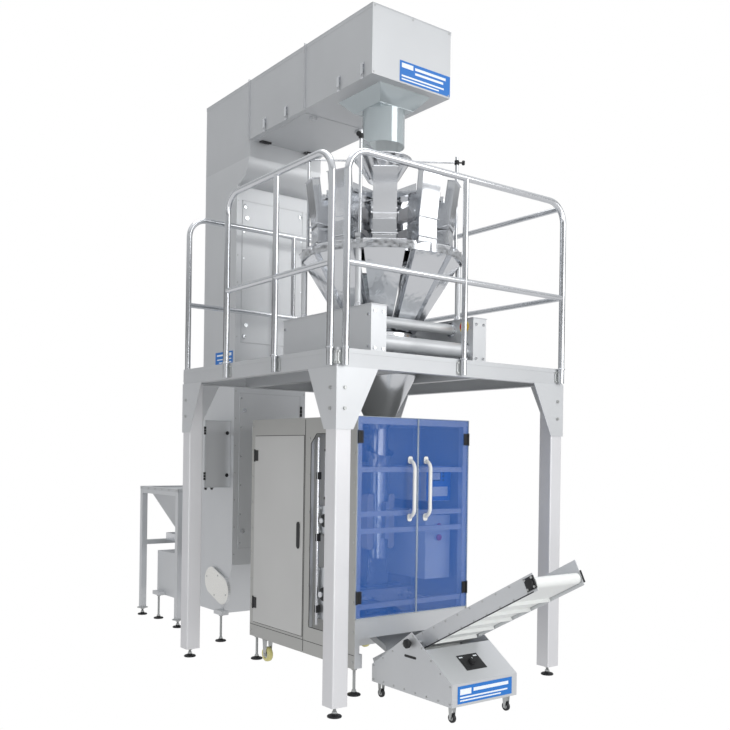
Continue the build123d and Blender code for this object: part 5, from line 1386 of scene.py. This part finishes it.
# ------------------------------------------------------------------ elevator
@dataclass
class Elevator:
    """Z bucket elevator and the vibrating feeder behind it."""

    x: tuple = (490, 1110)
    column: tuple = (2000, 2500)
    arm: tuple = (380, 2500)
    arm_z: tuple = (3650, 4070)
    flange: float = 12
    joint_z: float = 2023
    box_x: tuple = (285, 490)
    box_z: tuple = (1140, 1630)
    latches: tuple = (470, 715, 1330, 1610)

    def seams(self) -> None:
        """Build the flanged joints of the column and arm, with their bolts."""
        seam, bolts = Shape(), Shape()
        out = self.flange
        z = self.joint_z
        wide = (self.x[0] - out, self.x[1] + out)
        for shift in (-3, 1):
            level = (z + shift, z + shift + 2)
            box_at(seam, wide, (self.column[0] - out, self.column[0]), level)
            box_at(seam, wide, (self.column[1], self.column[1] + out), level)
            for x in ((self.x[0] - out, self.x[0]), (self.x[1], self.x[1] + out)):
                box_at(seam, x, self.column, level)
        for y in (1100, 1830):
            for shift in (-3, 1):
                for x in ((self.x[0] - out, self.x[0]), (self.x[1], self.x[1] + out)):
                    box_at(seam, x, (y + shift, y + shift + 2), self.arm_z)
                box_at(seam, (self.x[0] - out, self.x[1] + out), (y + shift, y + shift + 2),
                       (self.arm_z[1], self.arm_z[1] + 9))
            for z in np.linspace(3680, 4040, 5):
                bolts.hexagon(at(self.x[0] - out / 2, y + 3, z), (0, 1, 0), 0.010, 0.006)
        for x in np.linspace(510, 1090, 6):
            bolts.hexagon(at(x, self.column[0] - out / 2, 2026), UP, 0.010, 0.006)
        for y in np.linspace(2030, 2470, 5):
            bolts.hexagon(at(self.x[0] - out / 2, y, 2026), UP, 0.010, 0.006)
        for z in np.linspace(650, 3450, 15):
            for x in (503, 1097):
                bolts.hexagon(at(x, self.column[0], z), (0, -1, 0), 0.009, 0.0035)
        for x, z in ((505, 3665), (1095, 3665), (505, 4055), (1095, 4055), (800, 4055)):
            bolts.hexagon(at(x, self.arm[0], z), (0, -1, 0), 0.009, 0.0035)
        cap = Shape()
        box_at(cap, (487, 1113), (377, 2503), (4066, 4070.5))
        for x in (488.5, 1109.5):
            box_at(cap, (x, x + 2), (378, 2502), (4046, 4068))
        cap.make("arm_lid", BRUSHED_ACROSS, ROOT, SHEET_SLOT, bevel=0.8)
        seam.make("elevator_flanges", BRUSHED_SHEET, ROOT, SHEET_SLOT, bevel=0.5)
        bolts.make("elevator_bolts", ZINC, ROOT, SHEET_SLOT, smooth=35)

    def latch(self, steel: Shape, y: float) -> None:
        """Add one over-centre latch on the arm's left side: plate, lever, claw and keeper.

        Args:
            steel: Shape that takes it.
            y: Its place along the arm, in millimetres.
        """
        x, z = self.x[0], self.arm_z[0]
        box_at(steel, (x - 3, x), (y - 17, y + 17), (z + 34, z + 92))
        steel.bar(at(x - 9, y - 16, z + 80), at(x - 9, y + 16, z + 80), 0.004, 16)
        steel.prism([(-0.013, 0.0), (0.013, 0.0), (0.011, 0.062), (-0.011, 0.062)], at(x - 10, y, z + 20),
                    (0, -1, 0), (0, 0, 1), 0.003)
        for side in (-9, 9):
            steel.bar(at(x - 8, y + side, z + 60), at(x - 6, y + side, z - 2), 0.0022, 10)
        box_at(steel, (x - 10, x), (y - 13, y + 13), (z - 4, z + 3))

    def fittings(self) -> None:
        """Build the arm's latches, the hinges and the round locks."""
        steel, black, locks = Shape(), Shape(), Shape()
        for y in self.latches:
            self.latch(steel, y)
        for x in (610, 990):
            for dz in (0, 26, 52):
                black.bar(at(x - 40 + dz, 1785, 3645), at(x - 16 + dz, 1785, 3645), 0.0095, 20, 0.001)
            box_at(black, (x - 42, x + 38), (1788, 1822), (3643, 3650))
        for z in (770, 1680):
            for dz in (0, 27, 54):
                black.bar(at(1070, 1995, z + dz), at(1070, 1995, z + dz + 25), 0.0095, 20, 0.001)
        for x, z in ((560, 2255), (560, 3215), (1040, 2255), (1040, 3215)):
            locks.lathe([(0.0, 0.0), (0.017, 0.0), (0.018, 0.003), (0.016, 0.007), (0.006, 0.008),
                         (0.005, 0.005), (0.0, 0.005)],
                        at(x, 1997, z), (0, -1, 0), 32)
        steel.make("toggle_latches", POLISHED, ROOT, POLISH_SLOT, bevel=0.6, smooth=35)
        black.make("elevator_hinges", BLACK_NYLON, ROOT, "black_plastic", bevel=0.6)
        locks.make("panel_locks", POLISHED, ROOT, POLISH_SLOT, smooth=45)

    def panels(self) -> None:
        """Build the raised edges and screws of the column's panel and door, and the door's locks."""
        for body, low, high, name in ((ROOT, 2210, 3260, "upper"), ("column_door", 690, 1840, "lower")):
            edge, screws = Shape(), Shape()
            for x in (535, 1059):
                box_at(edge, (x, x + 6), (1995.5, 1997), (low, high))
            for z in (low, high - 6):
                box_at(edge, (535, 1065), (1995.5, 1997), (z, z + 6))
            edge.make(f"column_panel_edge_{name}", BRUSHED_ACROSS, body, SHEET_SLOT, bevel=0.5)
            for z in np.linspace(low + 40, high - 40, 6):
                screws.hexagon(at(550, 1997, z), (0, -1, 0), 0.009, 0.003)
                if name == "upper":
                    screws.hexagon(at(1050, 1997, z), (0, -1, 0), 0.009, 0.003)
            for z in (low + 130, high - 130):
                screws.lathe([(0.0, 0.0), (0.016, 0.0), (0.017, 0.003), (0.015, 0.008), (0.0, 0.008)],
                             at(572, 1997, z), (0, -1, 0), 32)
            screws.make(f"column_panel_screws_{name}", POLISHED, body, SHEET_SLOT, smooth=35)

    def plates(self) -> None:
        """Build the blue plates with their blank white blocks."""
        blue, white = Shape(), Shape()
        box_at(blue, (700, 1108), (378.4, 379.6), (3660, 3786))
        for x, z, w, h in ((715, 3745, 90, 28), (820, 3750, 250, 16), (820, 3722, 230, 14),
                           (715, 3690, 340, 10),
                           (715, 3672, 300, 8)):
            box_at(white, (x, x + w), (377.8, 378.5), (z, z + h))
        box_at(blue, (488.6, 489.7), (2030, 2300), (2046, 2150))
        for y, z, w, h in ((2050, 2116, 60, 22), (2125, 2120, 150, 12), (2050, 2090, 220, 8),
                           (2050, 2066, 190, 8)):
            box_at(white, (487.9, 488.7), (y, y + w), (z, z + h))
        blue.make("blank_plates_blue", BLUE_VINYL, ROOT, "blue_clear", bevel=0.2)
        white.make("blank_plates_white", WHITE_VINYL, ROOT, "white_enamel")

    def control_box(self) -> None:
        """Build the control box's edge, hinges, quarter turn locks and cable glands."""
        edge, black = Shape(), Shape()
        x, z = self.box_x, self.box_z
        for a in (x[0], x[1] - 6):
            box_at(edge, (a, a + 5), (2044.5, 2047), z)
        for b in (z[0], z[1] - 6):
            box_at(edge, (x[0], x[1] - 1), (2044.5, 2047), (b, b + 6))
        edge.make("control_door_edge", BRUSHED_ACROSS, "box_door", SHEET_SLOT, bevel=0.8)
        locks = Shape()
        for b in (z[0] + 90, z[1] - 90):
            locks.lathe([(0.0, 0.0), (0.013, 0.0), (0.014, 0.003), (0.012, 0.007), (0.0, 0.007)],
                        at(x[1] - 28, 2047, b), (0, -1, 0), 28)
        locks.make("control_door_locks", BLACK_NYLON, "box_door", "black_plastic", smooth=40)
        for b in (z[0] + 55, z[1] - 105):
            for dz in (0, 20, 40):
                black.bar(at(x[0] - 4, 2045, b + dz), at(x[0] - 4, 2045, b + dz + 18), 0.0085, 20, 0.001)
        black.make("control_box_hinges", BLACK_NYLON, "box_door", "black_plastic", bevel=0.5)
        glands = Shape()
        for a in (320, 370, 420):
            glands.lathe([(0.0, 0.0), (0.013, 0.0), (0.013, 0.010), (0.009, 0.014), (0.008, 0.022),
                          (0.0, 0.023)],
                         at(a, 2200, z[0]), (0, 0, -1), 24)
        glands.make("control_box_glands", BLACK_NYLON, ROOT, "black_plastic", smooth=35)

    def guard(self) -> None:
        """Build the chain guard: a stadium with a domed edge, and its screws."""
        slope = math.atan(0.35)
        way, rise = np.array((0, math.cos(slope), math.sin(slope))), np.array((0, -math.sin(slope),
                                                                               math.cos(slope)))
        centre = at(467.5, 2200, 400)
        shape = Shape()
        rows = []
        for inset, out in ((4, 0), (1, 2), (0, 5), (0, 22)):
            outline = np.array(stadium((85 + 105 - inset) * MM, (105 - inset) * MM, 20))
            rows.append(centre + outline[:, :1] * way + outline[:, 1:] * rise + np.array((out * MM, 0, 0)))
        shape.grid(np.array(rows), close_v=True)
        face = Shape()
        outline = rows[0]
        face.add(np.vstack((outline, centre[None])),
                 [(i, (i + 1) % len(outline), len(outline)) for i in range(len(outline))])
        shape.join(face)
        shape.make("chain_guard_shell", WHITE_ABS, ROOT, "white_enamel", smooth=30)
        screws = Shape()
        for a, b in ((-0.16, 0), (0.16, 0), (0, 0.08), (0, -0.08)):
            screws.hexagon(centre + way * a + rise * b, (-1, 0, 0), 0.010, 0.004)
        screws.make("chain_guard_screws", ZINC, ROOT, "white_enamel", smooth=35)

    def feeder(self) -> None:
        """Build the feeder's folded rim, bolts, foot discs, buffers and vibrator motor."""
        rim, bolts, black = Shape(), Shape(), Shape()
        for x in ((399, 403), (1197, 1201)):
            box_at(rim, x, (2729, 3471), (1074, 1101))
        for y in ((2729, 2733), (3467, 3471)):
            box_at(rim, (399, 1201), y, (1074, 1101))
        for x in (402, 1198):
            for y in np.linspace(2760, 3440, 6):
                bolts.hexagon(at(x - (3 if x < 500 else -3), y, 1088), (-1 if x < 500 else 1, 0, 0), 0.011,
                              0.005)
        for x in (423, 1177):
            for y in (2753, 3447):
                bolts.lathe([(0.0, 0), (0.045, 0), (0.045, 0.004), (0.0, 0.005)], at(x, y, 60), UP, 32)
        for x in (640, 960):
            for y in (2753, 3447):
                black.lathe([(0.0, 0.0), (0.02, 0.0), (0.024, 0.006), (0.0, 0.0065)], at(x, y, 632), UP, 28)
        rim.make("feeder_rim_fold", BRUSHED_ACROSS, ROOT, SHEET_SLOT, bevel=0.8)
        bolts.make("feeder_bolts", ZINC, ROOT, SHEET_SLOT, smooth=35)
        black.make("feeder_buffers", BLACK_NYLON, ROOT, "black_plastic", smooth=35)
        motor = Shape()
        motor.lathe([(0.0, 0.0), (0.05, 0.0), (0.055, 0.01), (0.055, 0.05), (0.062, 0.055), (0.062, 0.065),
                     (0.05, 0.07),
                     (0.05, 0.15), (0.062, 0.155), (0.062, 0.165), (0.055, 0.17), (0.055, 0.21), (0.05, 0.22),
                     (0.0, 0.22)],
                    at(690, 3100, 565), (1, 0, 0), 48)
        box_at(motor, (730, 870), (3050, 3150), (612, 640))
        motor.make("vibrator_motor", BLASTED_TUBE, "tray", POLISH_SLOT, smooth=35)

    def build(self) -> None:
        """Build every piece of the elevator and feeder."""
        self.seams()
        self.fittings()
        self.panels()
        self.plates()
        self.control_box()
        self.guard()
        self.feeder()


# ------------------------------------------------------------------ take-off
@dataclass
class TakeOff:
    """Take-off conveyor: control plate, belt, end bearings and screws."""

    x: float = 700
    half: float = 240
    low: tuple = (300, 170)
    high: tuple = (-890, 790)
    rail: float = 170
    radius: float = 28

    def __post_init__(self) -> None:
        """Work out the belt's own directions and the control face's."""
        self.start = at(self.x, *self.low)
        self.end = at(self.x, *self.high)
        self.along = unit(self.end - self.start)
        self.up = unit(np.array((0, -self.along[2], self.along[1]))) * (-1 if self.along[1] < 0 else 1)
        self.length = float(np.linalg.norm(self.end - self.start))
        self.face_low, apex = at(self.x, -420, 210), at(self.x, -90, 430)
        self.face_run = unit(apex - self.face_low)
        self.face_out = unit(np.cross(np.array((1.0, 0, 0)), self.face_run))
        self.face = self.face_low + self.face_run * (215 / (self.face_run[1] / MM)) / 2

    def on_face(self, across: float, up: float) -> np.ndarray:
        """Point on the sloped control face, from its middle.

        Args:
            across: Distance to the right, in millimetres.
            up: Distance up the slope.

        Returns:
            The point, in metres.
        """
        return self.face + np.array((across * MM, 0, 0)) + self.face_run * up * MM

    def controls(self) -> None:
        """Build the black control plate with its dial ticks, and the front's blue plate."""
        way = (1.0, 0, 0)
        plate = Shape().prism([(-0.075, -0.055), (0.075, -0.055), (0.075, 0.055), (-0.075, 0.055)],
                              self.face + self.face_out * 0.0002, way, tuple(self.face_run), 0.0012)
        plate.make("control_plate", BLACK_NYLON, "takeaway", "black_plastic", bevel=0.8)
        ticks = Shape()
        for step in range(11):
            a = math.radians(-45 + 27 * step)
            centre = self.face + np.array((math.cos(a), 0, 0)) * 0.028 + self.face_run * math.sin(a) * 0.028
            ticks.prism([(-0.0012, -0.0035), (0.0012, -0.0035), (0.0012, 0.0035), (-0.0012, 0.0035)],
                        centre + self.face_out * 0.0013,
                        tuple(-math.sin(a) * np.array(way) + math.cos(a) * self.face_run),
                        tuple(math.cos(a) * np.array(way) + math.sin(a) * self.face_run), 0.0004)
        for across, wide in ((-52, 26), (52, 26)):
            ticks.prism([(-wide / 2 * MM, -0.004), (wide / 2 * MM, -0.004), (wide / 2 * MM, 0.004),
                         (-wide / 2 * MM, 0.004)],
                        self.on_face(across, 38) + self.face_out * 0.0013, way, tuple(self.face_run), 0.0004)
        ticks.make("control_markings", WHITE_VINYL, "takeaway", "white_enamel")
        blue, white = Shape(), Shape()
        box_at(blue, (500, 900), (-421.6, -420.3), (104, 196))
        for x, z, w, h in ((516, 150, 80, 30), (612, 160, 260, 18), (516, 132, 350, 8), (516, 116, 300, 7)):
            box_at(white, (x, x + w), (-422.2, -421.5), (z, z + h))
        blue.make("front_plate_blue", BLUE_VINYL, "takeaway", "blue_clear", bevel=0.2)
        white.make("front_plate_white", WHITE_VINYL, "takeaway", "white_enamel")

    def screws(self) -> None:
        """Build the small screws along every panel's edge and the slotted pivot clamp."""
        screws = Shape()
        edge = [(-405, 106), (-405, 198), (-100, 410), (245, 185), (245, 106)]
        for a, b in zip(edge, edge[1:] + edge[:1]):
            a, b = np.array(a, float), np.array(b, float)
            count = max(int(np.linalg.norm(b - a) / 90), 1)
            for k in range(count):
                y, z = a + (b - a) * k / count
                screws.hexagon(at(460, y, z), (-1, 0, 0), 0.009, 0.0035)
                screws.hexagon(at(940, y, z), (1, 0, 0), 0.009, 0.0035)
        screws.make("base_screws", ZINC, "takeaway", SHEET_SLOT, smooth=35)
        knob, slots = Shape(), Shape()
        pivot = self.start + self.along * 430 * MM
        for x, way in ((460, -1), (940, 1)):
            place = at(x, 0, 0)
            spot = np.array((place[0], pivot[1], pivot[2]))
            knob.lathe([(0.0, 0.001), (0.012, 0.001), (0.012, 0.012), (0.024, 0.014), (0.027, 0.020),
                        (0.026, 0.034),
                        (0.018, 0.038), (0.0, 0.039)], spot, (way, 0, 0), 8)
            slots.prism(stadium(0.05, 0.007), spot + np.array((0.0 if way > 0 else -0.0008, 0.0, -0.075)),
                        (0, 1, 0), (0, 0, 1), 0.0008)
        knob.make("pivot_clamp_knobs", BLACK_NYLON, "takeaway", "black_plastic", bevel=1.5, smooth=30)
        slots.make("pivot_slots", BLACK_NYLON, "takeaway", "black_plastic")

    def belt_edges(self) -> None:
        """Build the rails' wear strips and screws, and the end bearings."""
        strips, bearings, screws = Shape(), Shape(), Shape()
        for side in (-1, 1):
            x = side * (self.rail + 0.2)
            a = self.start + np.array((x * MM, 0, 0)) + self.up * -0.0415
            b = a + self.along * (self.length * 0.999)
            strips.bar(a, b, 0.0028, 12, 0.001)
            for k in np.linspace(0.04, 0.97, 13):
                p = self.start + self.along * self.length * k
                for across in (-0.034, 0.034):
                    screws.hexagon(p + np.array((x * MM, 0, 0)) + self.up * across, (side, 0, 0), 0.008,
                                   0.003)
            p = self.end + np.array((x * MM, 0, 0))
            square = [(-0.032, -0.032), (0.032, -0.032), (0.032, 0.032), (-0.032, 0.032)]
            flip = 1 if np.cross(self.along, self.up)[0] > 0 else -1
            across, upward = tuple(self.along * side), tuple(self.up * flip)
            bearings.prism(square, p, across, upward, 0.010)
            bearings.lathe([(0.0105, 0.0), (0.027, 0.0), (0.026, 0.017), (0.021, 0.021), (0.0105, 0.022)], p,
                           (side, 0, 0), 40)
            for u in (-0.023, 0.023):
                for v in (-0.023, 0.023):
                    screws.hexagon(p + self.along * u + self.up * v + np.array((side * 0.010, 0, 0)),
                                   (side, 0, 0), 0.010, 0.005)
        strips.make("rail_wear_strips", BLACK_NYLON, "incline", "black_plastic")
        bearings.make("end_bearings", BLACK_NYLON, "incline", "black_plastic", bevel=1, smooth=40)
        screws.make("rail_screws", ZINC, "incline", SHEET_SLOT, smooth=35)

    def knob(self) -> None:
        """Build the speed knob: a fluted cap, r = r0 (1 + 0.05 cos 12 a), and its white pointer."""
        a = np.linspace(0, 2 * np.pi, 97)[:-1]
        side_way, up_way = np.array((1.0, 0, 0)), self.face_run
        rows = []
        for radius, height, flute in ((20, 2, 0), (20, 5, 0), (17.5, 6.5, 1), (16.5, 17, 1), (15, 19.5, 0.6),
                                      (0.2, 20, 0)):
            r = radius * (1 + 0.05 * flute * np.cos(12 * a)) * MM
            centre = self.face + self.face_out * (height * MM)
            rows.append(centre + r[:, None] * (np.cos(a)[:, None] * side_way + np.sin(a)[:, None] * up_way))
        Shape().grid(np.array(rows), close_v=True).make("speed_knob_cap", BLACK_NYLON, "knob",
                                                        "black_plastic",
                                                        ("speed_knob",), smooth=40)
        mark = Shape().prism([(-0.001, 0.004), (0.001, 0.004), (0.001, 0.015), (-0.001, 0.015)],
                             self.face + self.face_out * 0.0198, (1, 0, 0), tuple(self.face_run), 0.0008)
        mark.make("speed_knob_mark", WHITE_VINYL, "knob", "black_plastic")

    def build(self) -> None:
        """Build every piece of the take-off conveyor."""
        self.controls()
        self.screws()
        self.belt_edges()
        self.knob()


# --------------------------------------------------------------------- scene
# Finish of each CAD node that stays as it is.
NODE_FINISH = {
    "platform_legs": BLASTED_TUBE, "platform_frame": BRUSHED_ACROSS, "deck_plate": TREAD_PLATE,
    "corner_gussets": BRUSHED_SHEET, "weigher_base": BRUSHED_SHEET, "weigher_body": DIMPLED,
    "radial_feeders": DIMPLED, "feed_hoppers": POLISHED, "weigh_hoppers": POLISHED, "hopper_gates": POLISHED,
    "discharge_chutes": DIMPLED, "collecting_funnel": POLISHED, "weigher_stop_button": RED_ABS,
    "bagger_frame": BRUSHED_SHEET, "bagger_panels": GREY_COAT, "side_door": GREY_COAT_LIGHT,
    "front_door_left": BLUE_SHEET, "front_door_right": BLUE_SHEET, "forming_tube": POLISHED,
    "pull_belt_left": PALE_RUBBER, "pull_belt_right": PALE_RUBBER, "vertical_sealer": MACHINED,
    "front_jaw": MACHINED, "rear_jaw": MACHINED, "knife": POLISHED, "jaw_rods": POLISHED,
    "film_roll": WOUND_FILM, "film_rollers": POLISHED, "dancer_arm": MACHINED, "electrical_cabinet": ENAMEL,
    "stop_button": RED_ABS, "start_button": RED_ABS, "discharge_slide": BRUSHED_ACROSS,
    "elevator_column": BRUSHED_SHEET, "elevator_arm": BRUSHED_ACROSS, "discharge_collar": ACRYLIC,
    "upper_service_panel": BRUSHED_SHEET, "lower_column_door": BRUSHED_SHEET, "arm_hatch": BRUSHED_ACROSS,
    "control_box": BRUSHED_SHEET, "control_box_door": BRUSHED_SHEET, "elevator_boot": BRUSHED_SHEET,
    "bucket_chain": WHITE_ABS, "feeder_frame": BRUSHED_SHEET, "feeder_hopper": BRUSHED_ACROSS,
    "feeder_tray": POLISHED, "takeaway_base": BRUSHED_SHEET, "takeaway_frame": BRUSHED_SHEET,
    "takeaway_belt": WHITE_BELT, "drive_roller": WHITE_ABS,
}


@dataclass
class Studio:
    """Graded room, soft lights and the camera. There is no floor."""

    focal: float = 44.4
    sensor: float = 36
    place: tuple = (-3.586, -5.133, 1.40)
    turn: float = -37
    roll: float = -0.8
    lift: float = 0.122

    def camera(self) -> None:
        """Place the camera and make it the scene's."""
        data = bpy.data.cameras.new("view")
        data.lens, data.sensor_width, data.shift_y = self.focal, self.sensor, self.lift
        data.clip_end = 100
        item = bpy.data.objects.new("view", data)
        item.location = self.place
        item.rotation_euler = (math.radians(90), math.radians(self.roll), math.radians(self.turn))
        bpy.context.collection.objects.link(item)
        bpy.context.scene.camera = item

    @staticmethod
    def light(name: str, place: tuple, target: tuple, size: tuple, power: float) -> None:
        """Add a soft rectangular light that faces a target.

        Args:
            name: The light's name.
            place: Where it stands, in metres.
            target: The point it faces.
            size: Its two sides, in metres.
            power: Its power, in watts.
        """
        data = bpy.data.lights.new(name, "AREA")
        data.shape, data.size, data.size_y, data.energy = "RECTANGLE", size[0], size[1], power
        item = bpy.data.objects.new(name, data)
        back = unit(np.array(place, float) - np.array(target, float))
        side = unit(np.cross(UP, back))
        over = np.cross(back, side)
        matrix = np.eye(4)
        matrix[:3, 0], matrix[:3, 1], matrix[:3, 2], matrix[:3, 3] = side, over, back, place
        item.matrix_world = [list(column) for column in matrix.T]
        item.visible_camera = False
        bpy.context.collection.objects.link(item)

    def world(self) -> None:
        """Graded room for reflections; white where the camera sees it directly."""
        world = bpy.data.worlds.new("room")
        world.use_nodes = True
        tree = world.node_tree
        tree.nodes.clear()
        place = add_node(tree, "ShaderNodeTexCoord").outputs["Generated"]
        parts = add_node(tree, "ShaderNodeSeparateXYZ", {0: place})
        grade = add_node(tree, "ShaderNodeValToRGB", {0: parts.outputs["Z"]})
        ramp = grade.color_ramp
        ramp.elements[0].position, ramp.elements[0].color = 0.0, (0.72, 0.72, 0.73, 1)
        ramp.elements[1].position, ramp.elements[1].color = 0.8, (0.92, 0.93, 0.95, 1)
        for position, level in ((0.05, 0.66), (0.10, 0.10), (0.17, 0.12), (0.24, 0.62), (0.40, 0.75),
                                (0.47, 0.22),
                                (0.53, 0.7)):
            ramp.elements.new(position).color = (level * 0.97, level * 0.985, level, 1)
        room = add_node(tree, "ShaderNodeBackground", {0: grade.outputs["Color"], 1: 0.95})
        white = add_node(tree, "ShaderNodeBackground", {0: (1, 1, 1, 1), 1: 1.0})
        path = add_node(tree, "ShaderNodeLightPath").outputs["Is Camera Ray"]
        mix = add_node(tree, "ShaderNodeMixShader", {0: path, 1: room.outputs[0], 2: white.outputs[0]})
        add_node(tree, "ShaderNodeOutputWorld", {0: mix.outputs[0]})
        bpy.context.scene.world = world

    def build(self) -> None:
        """Set up the whole studio."""
        self.camera()
        self.world()
        self.light("key", (3.2, -8.0, 4.5), (0, 0, 1.6), (4.5, 4.5), 200)
        self.light("front", (-1.0, -9.0, 1.6), (0, 0, 1.2), (6, 3), 105)
        self.light("side", (-8.0, 0.5, 1.8), (0, 0.8, 1.0), (6, 3), 14)
        self.light("fill", (-3.4, -4.6, 0.9), (-0.2, 0.8, 1.2), (2.5, 1.2), 34)
        self.light("top", (0, 0, 8.0), (0, 0.3, 1.0), (5, 6), 150)
        view = bpy.context.scene.view_settings
        view.view_transform = "Standard"


def main() -> None:
    """Load the frame, build and paint every piece and set up the studio."""
    logging.basicConfig(level=logging.INFO)
    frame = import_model()
    for part in (Platform(), Feet(), Weigher(), Bagger(), Elevator(), TakeOff()):
        LOG.info("building %s", type(part).__name__)
        part.build()
    castors()
    for name, finish in NODE_FINISH.items():
        item = frame["nodes"][name]
        item.data.materials.clear()
        item.data.materials.append(finish.material())
    Studio().build()


if __name__ == "__main__":
    main()
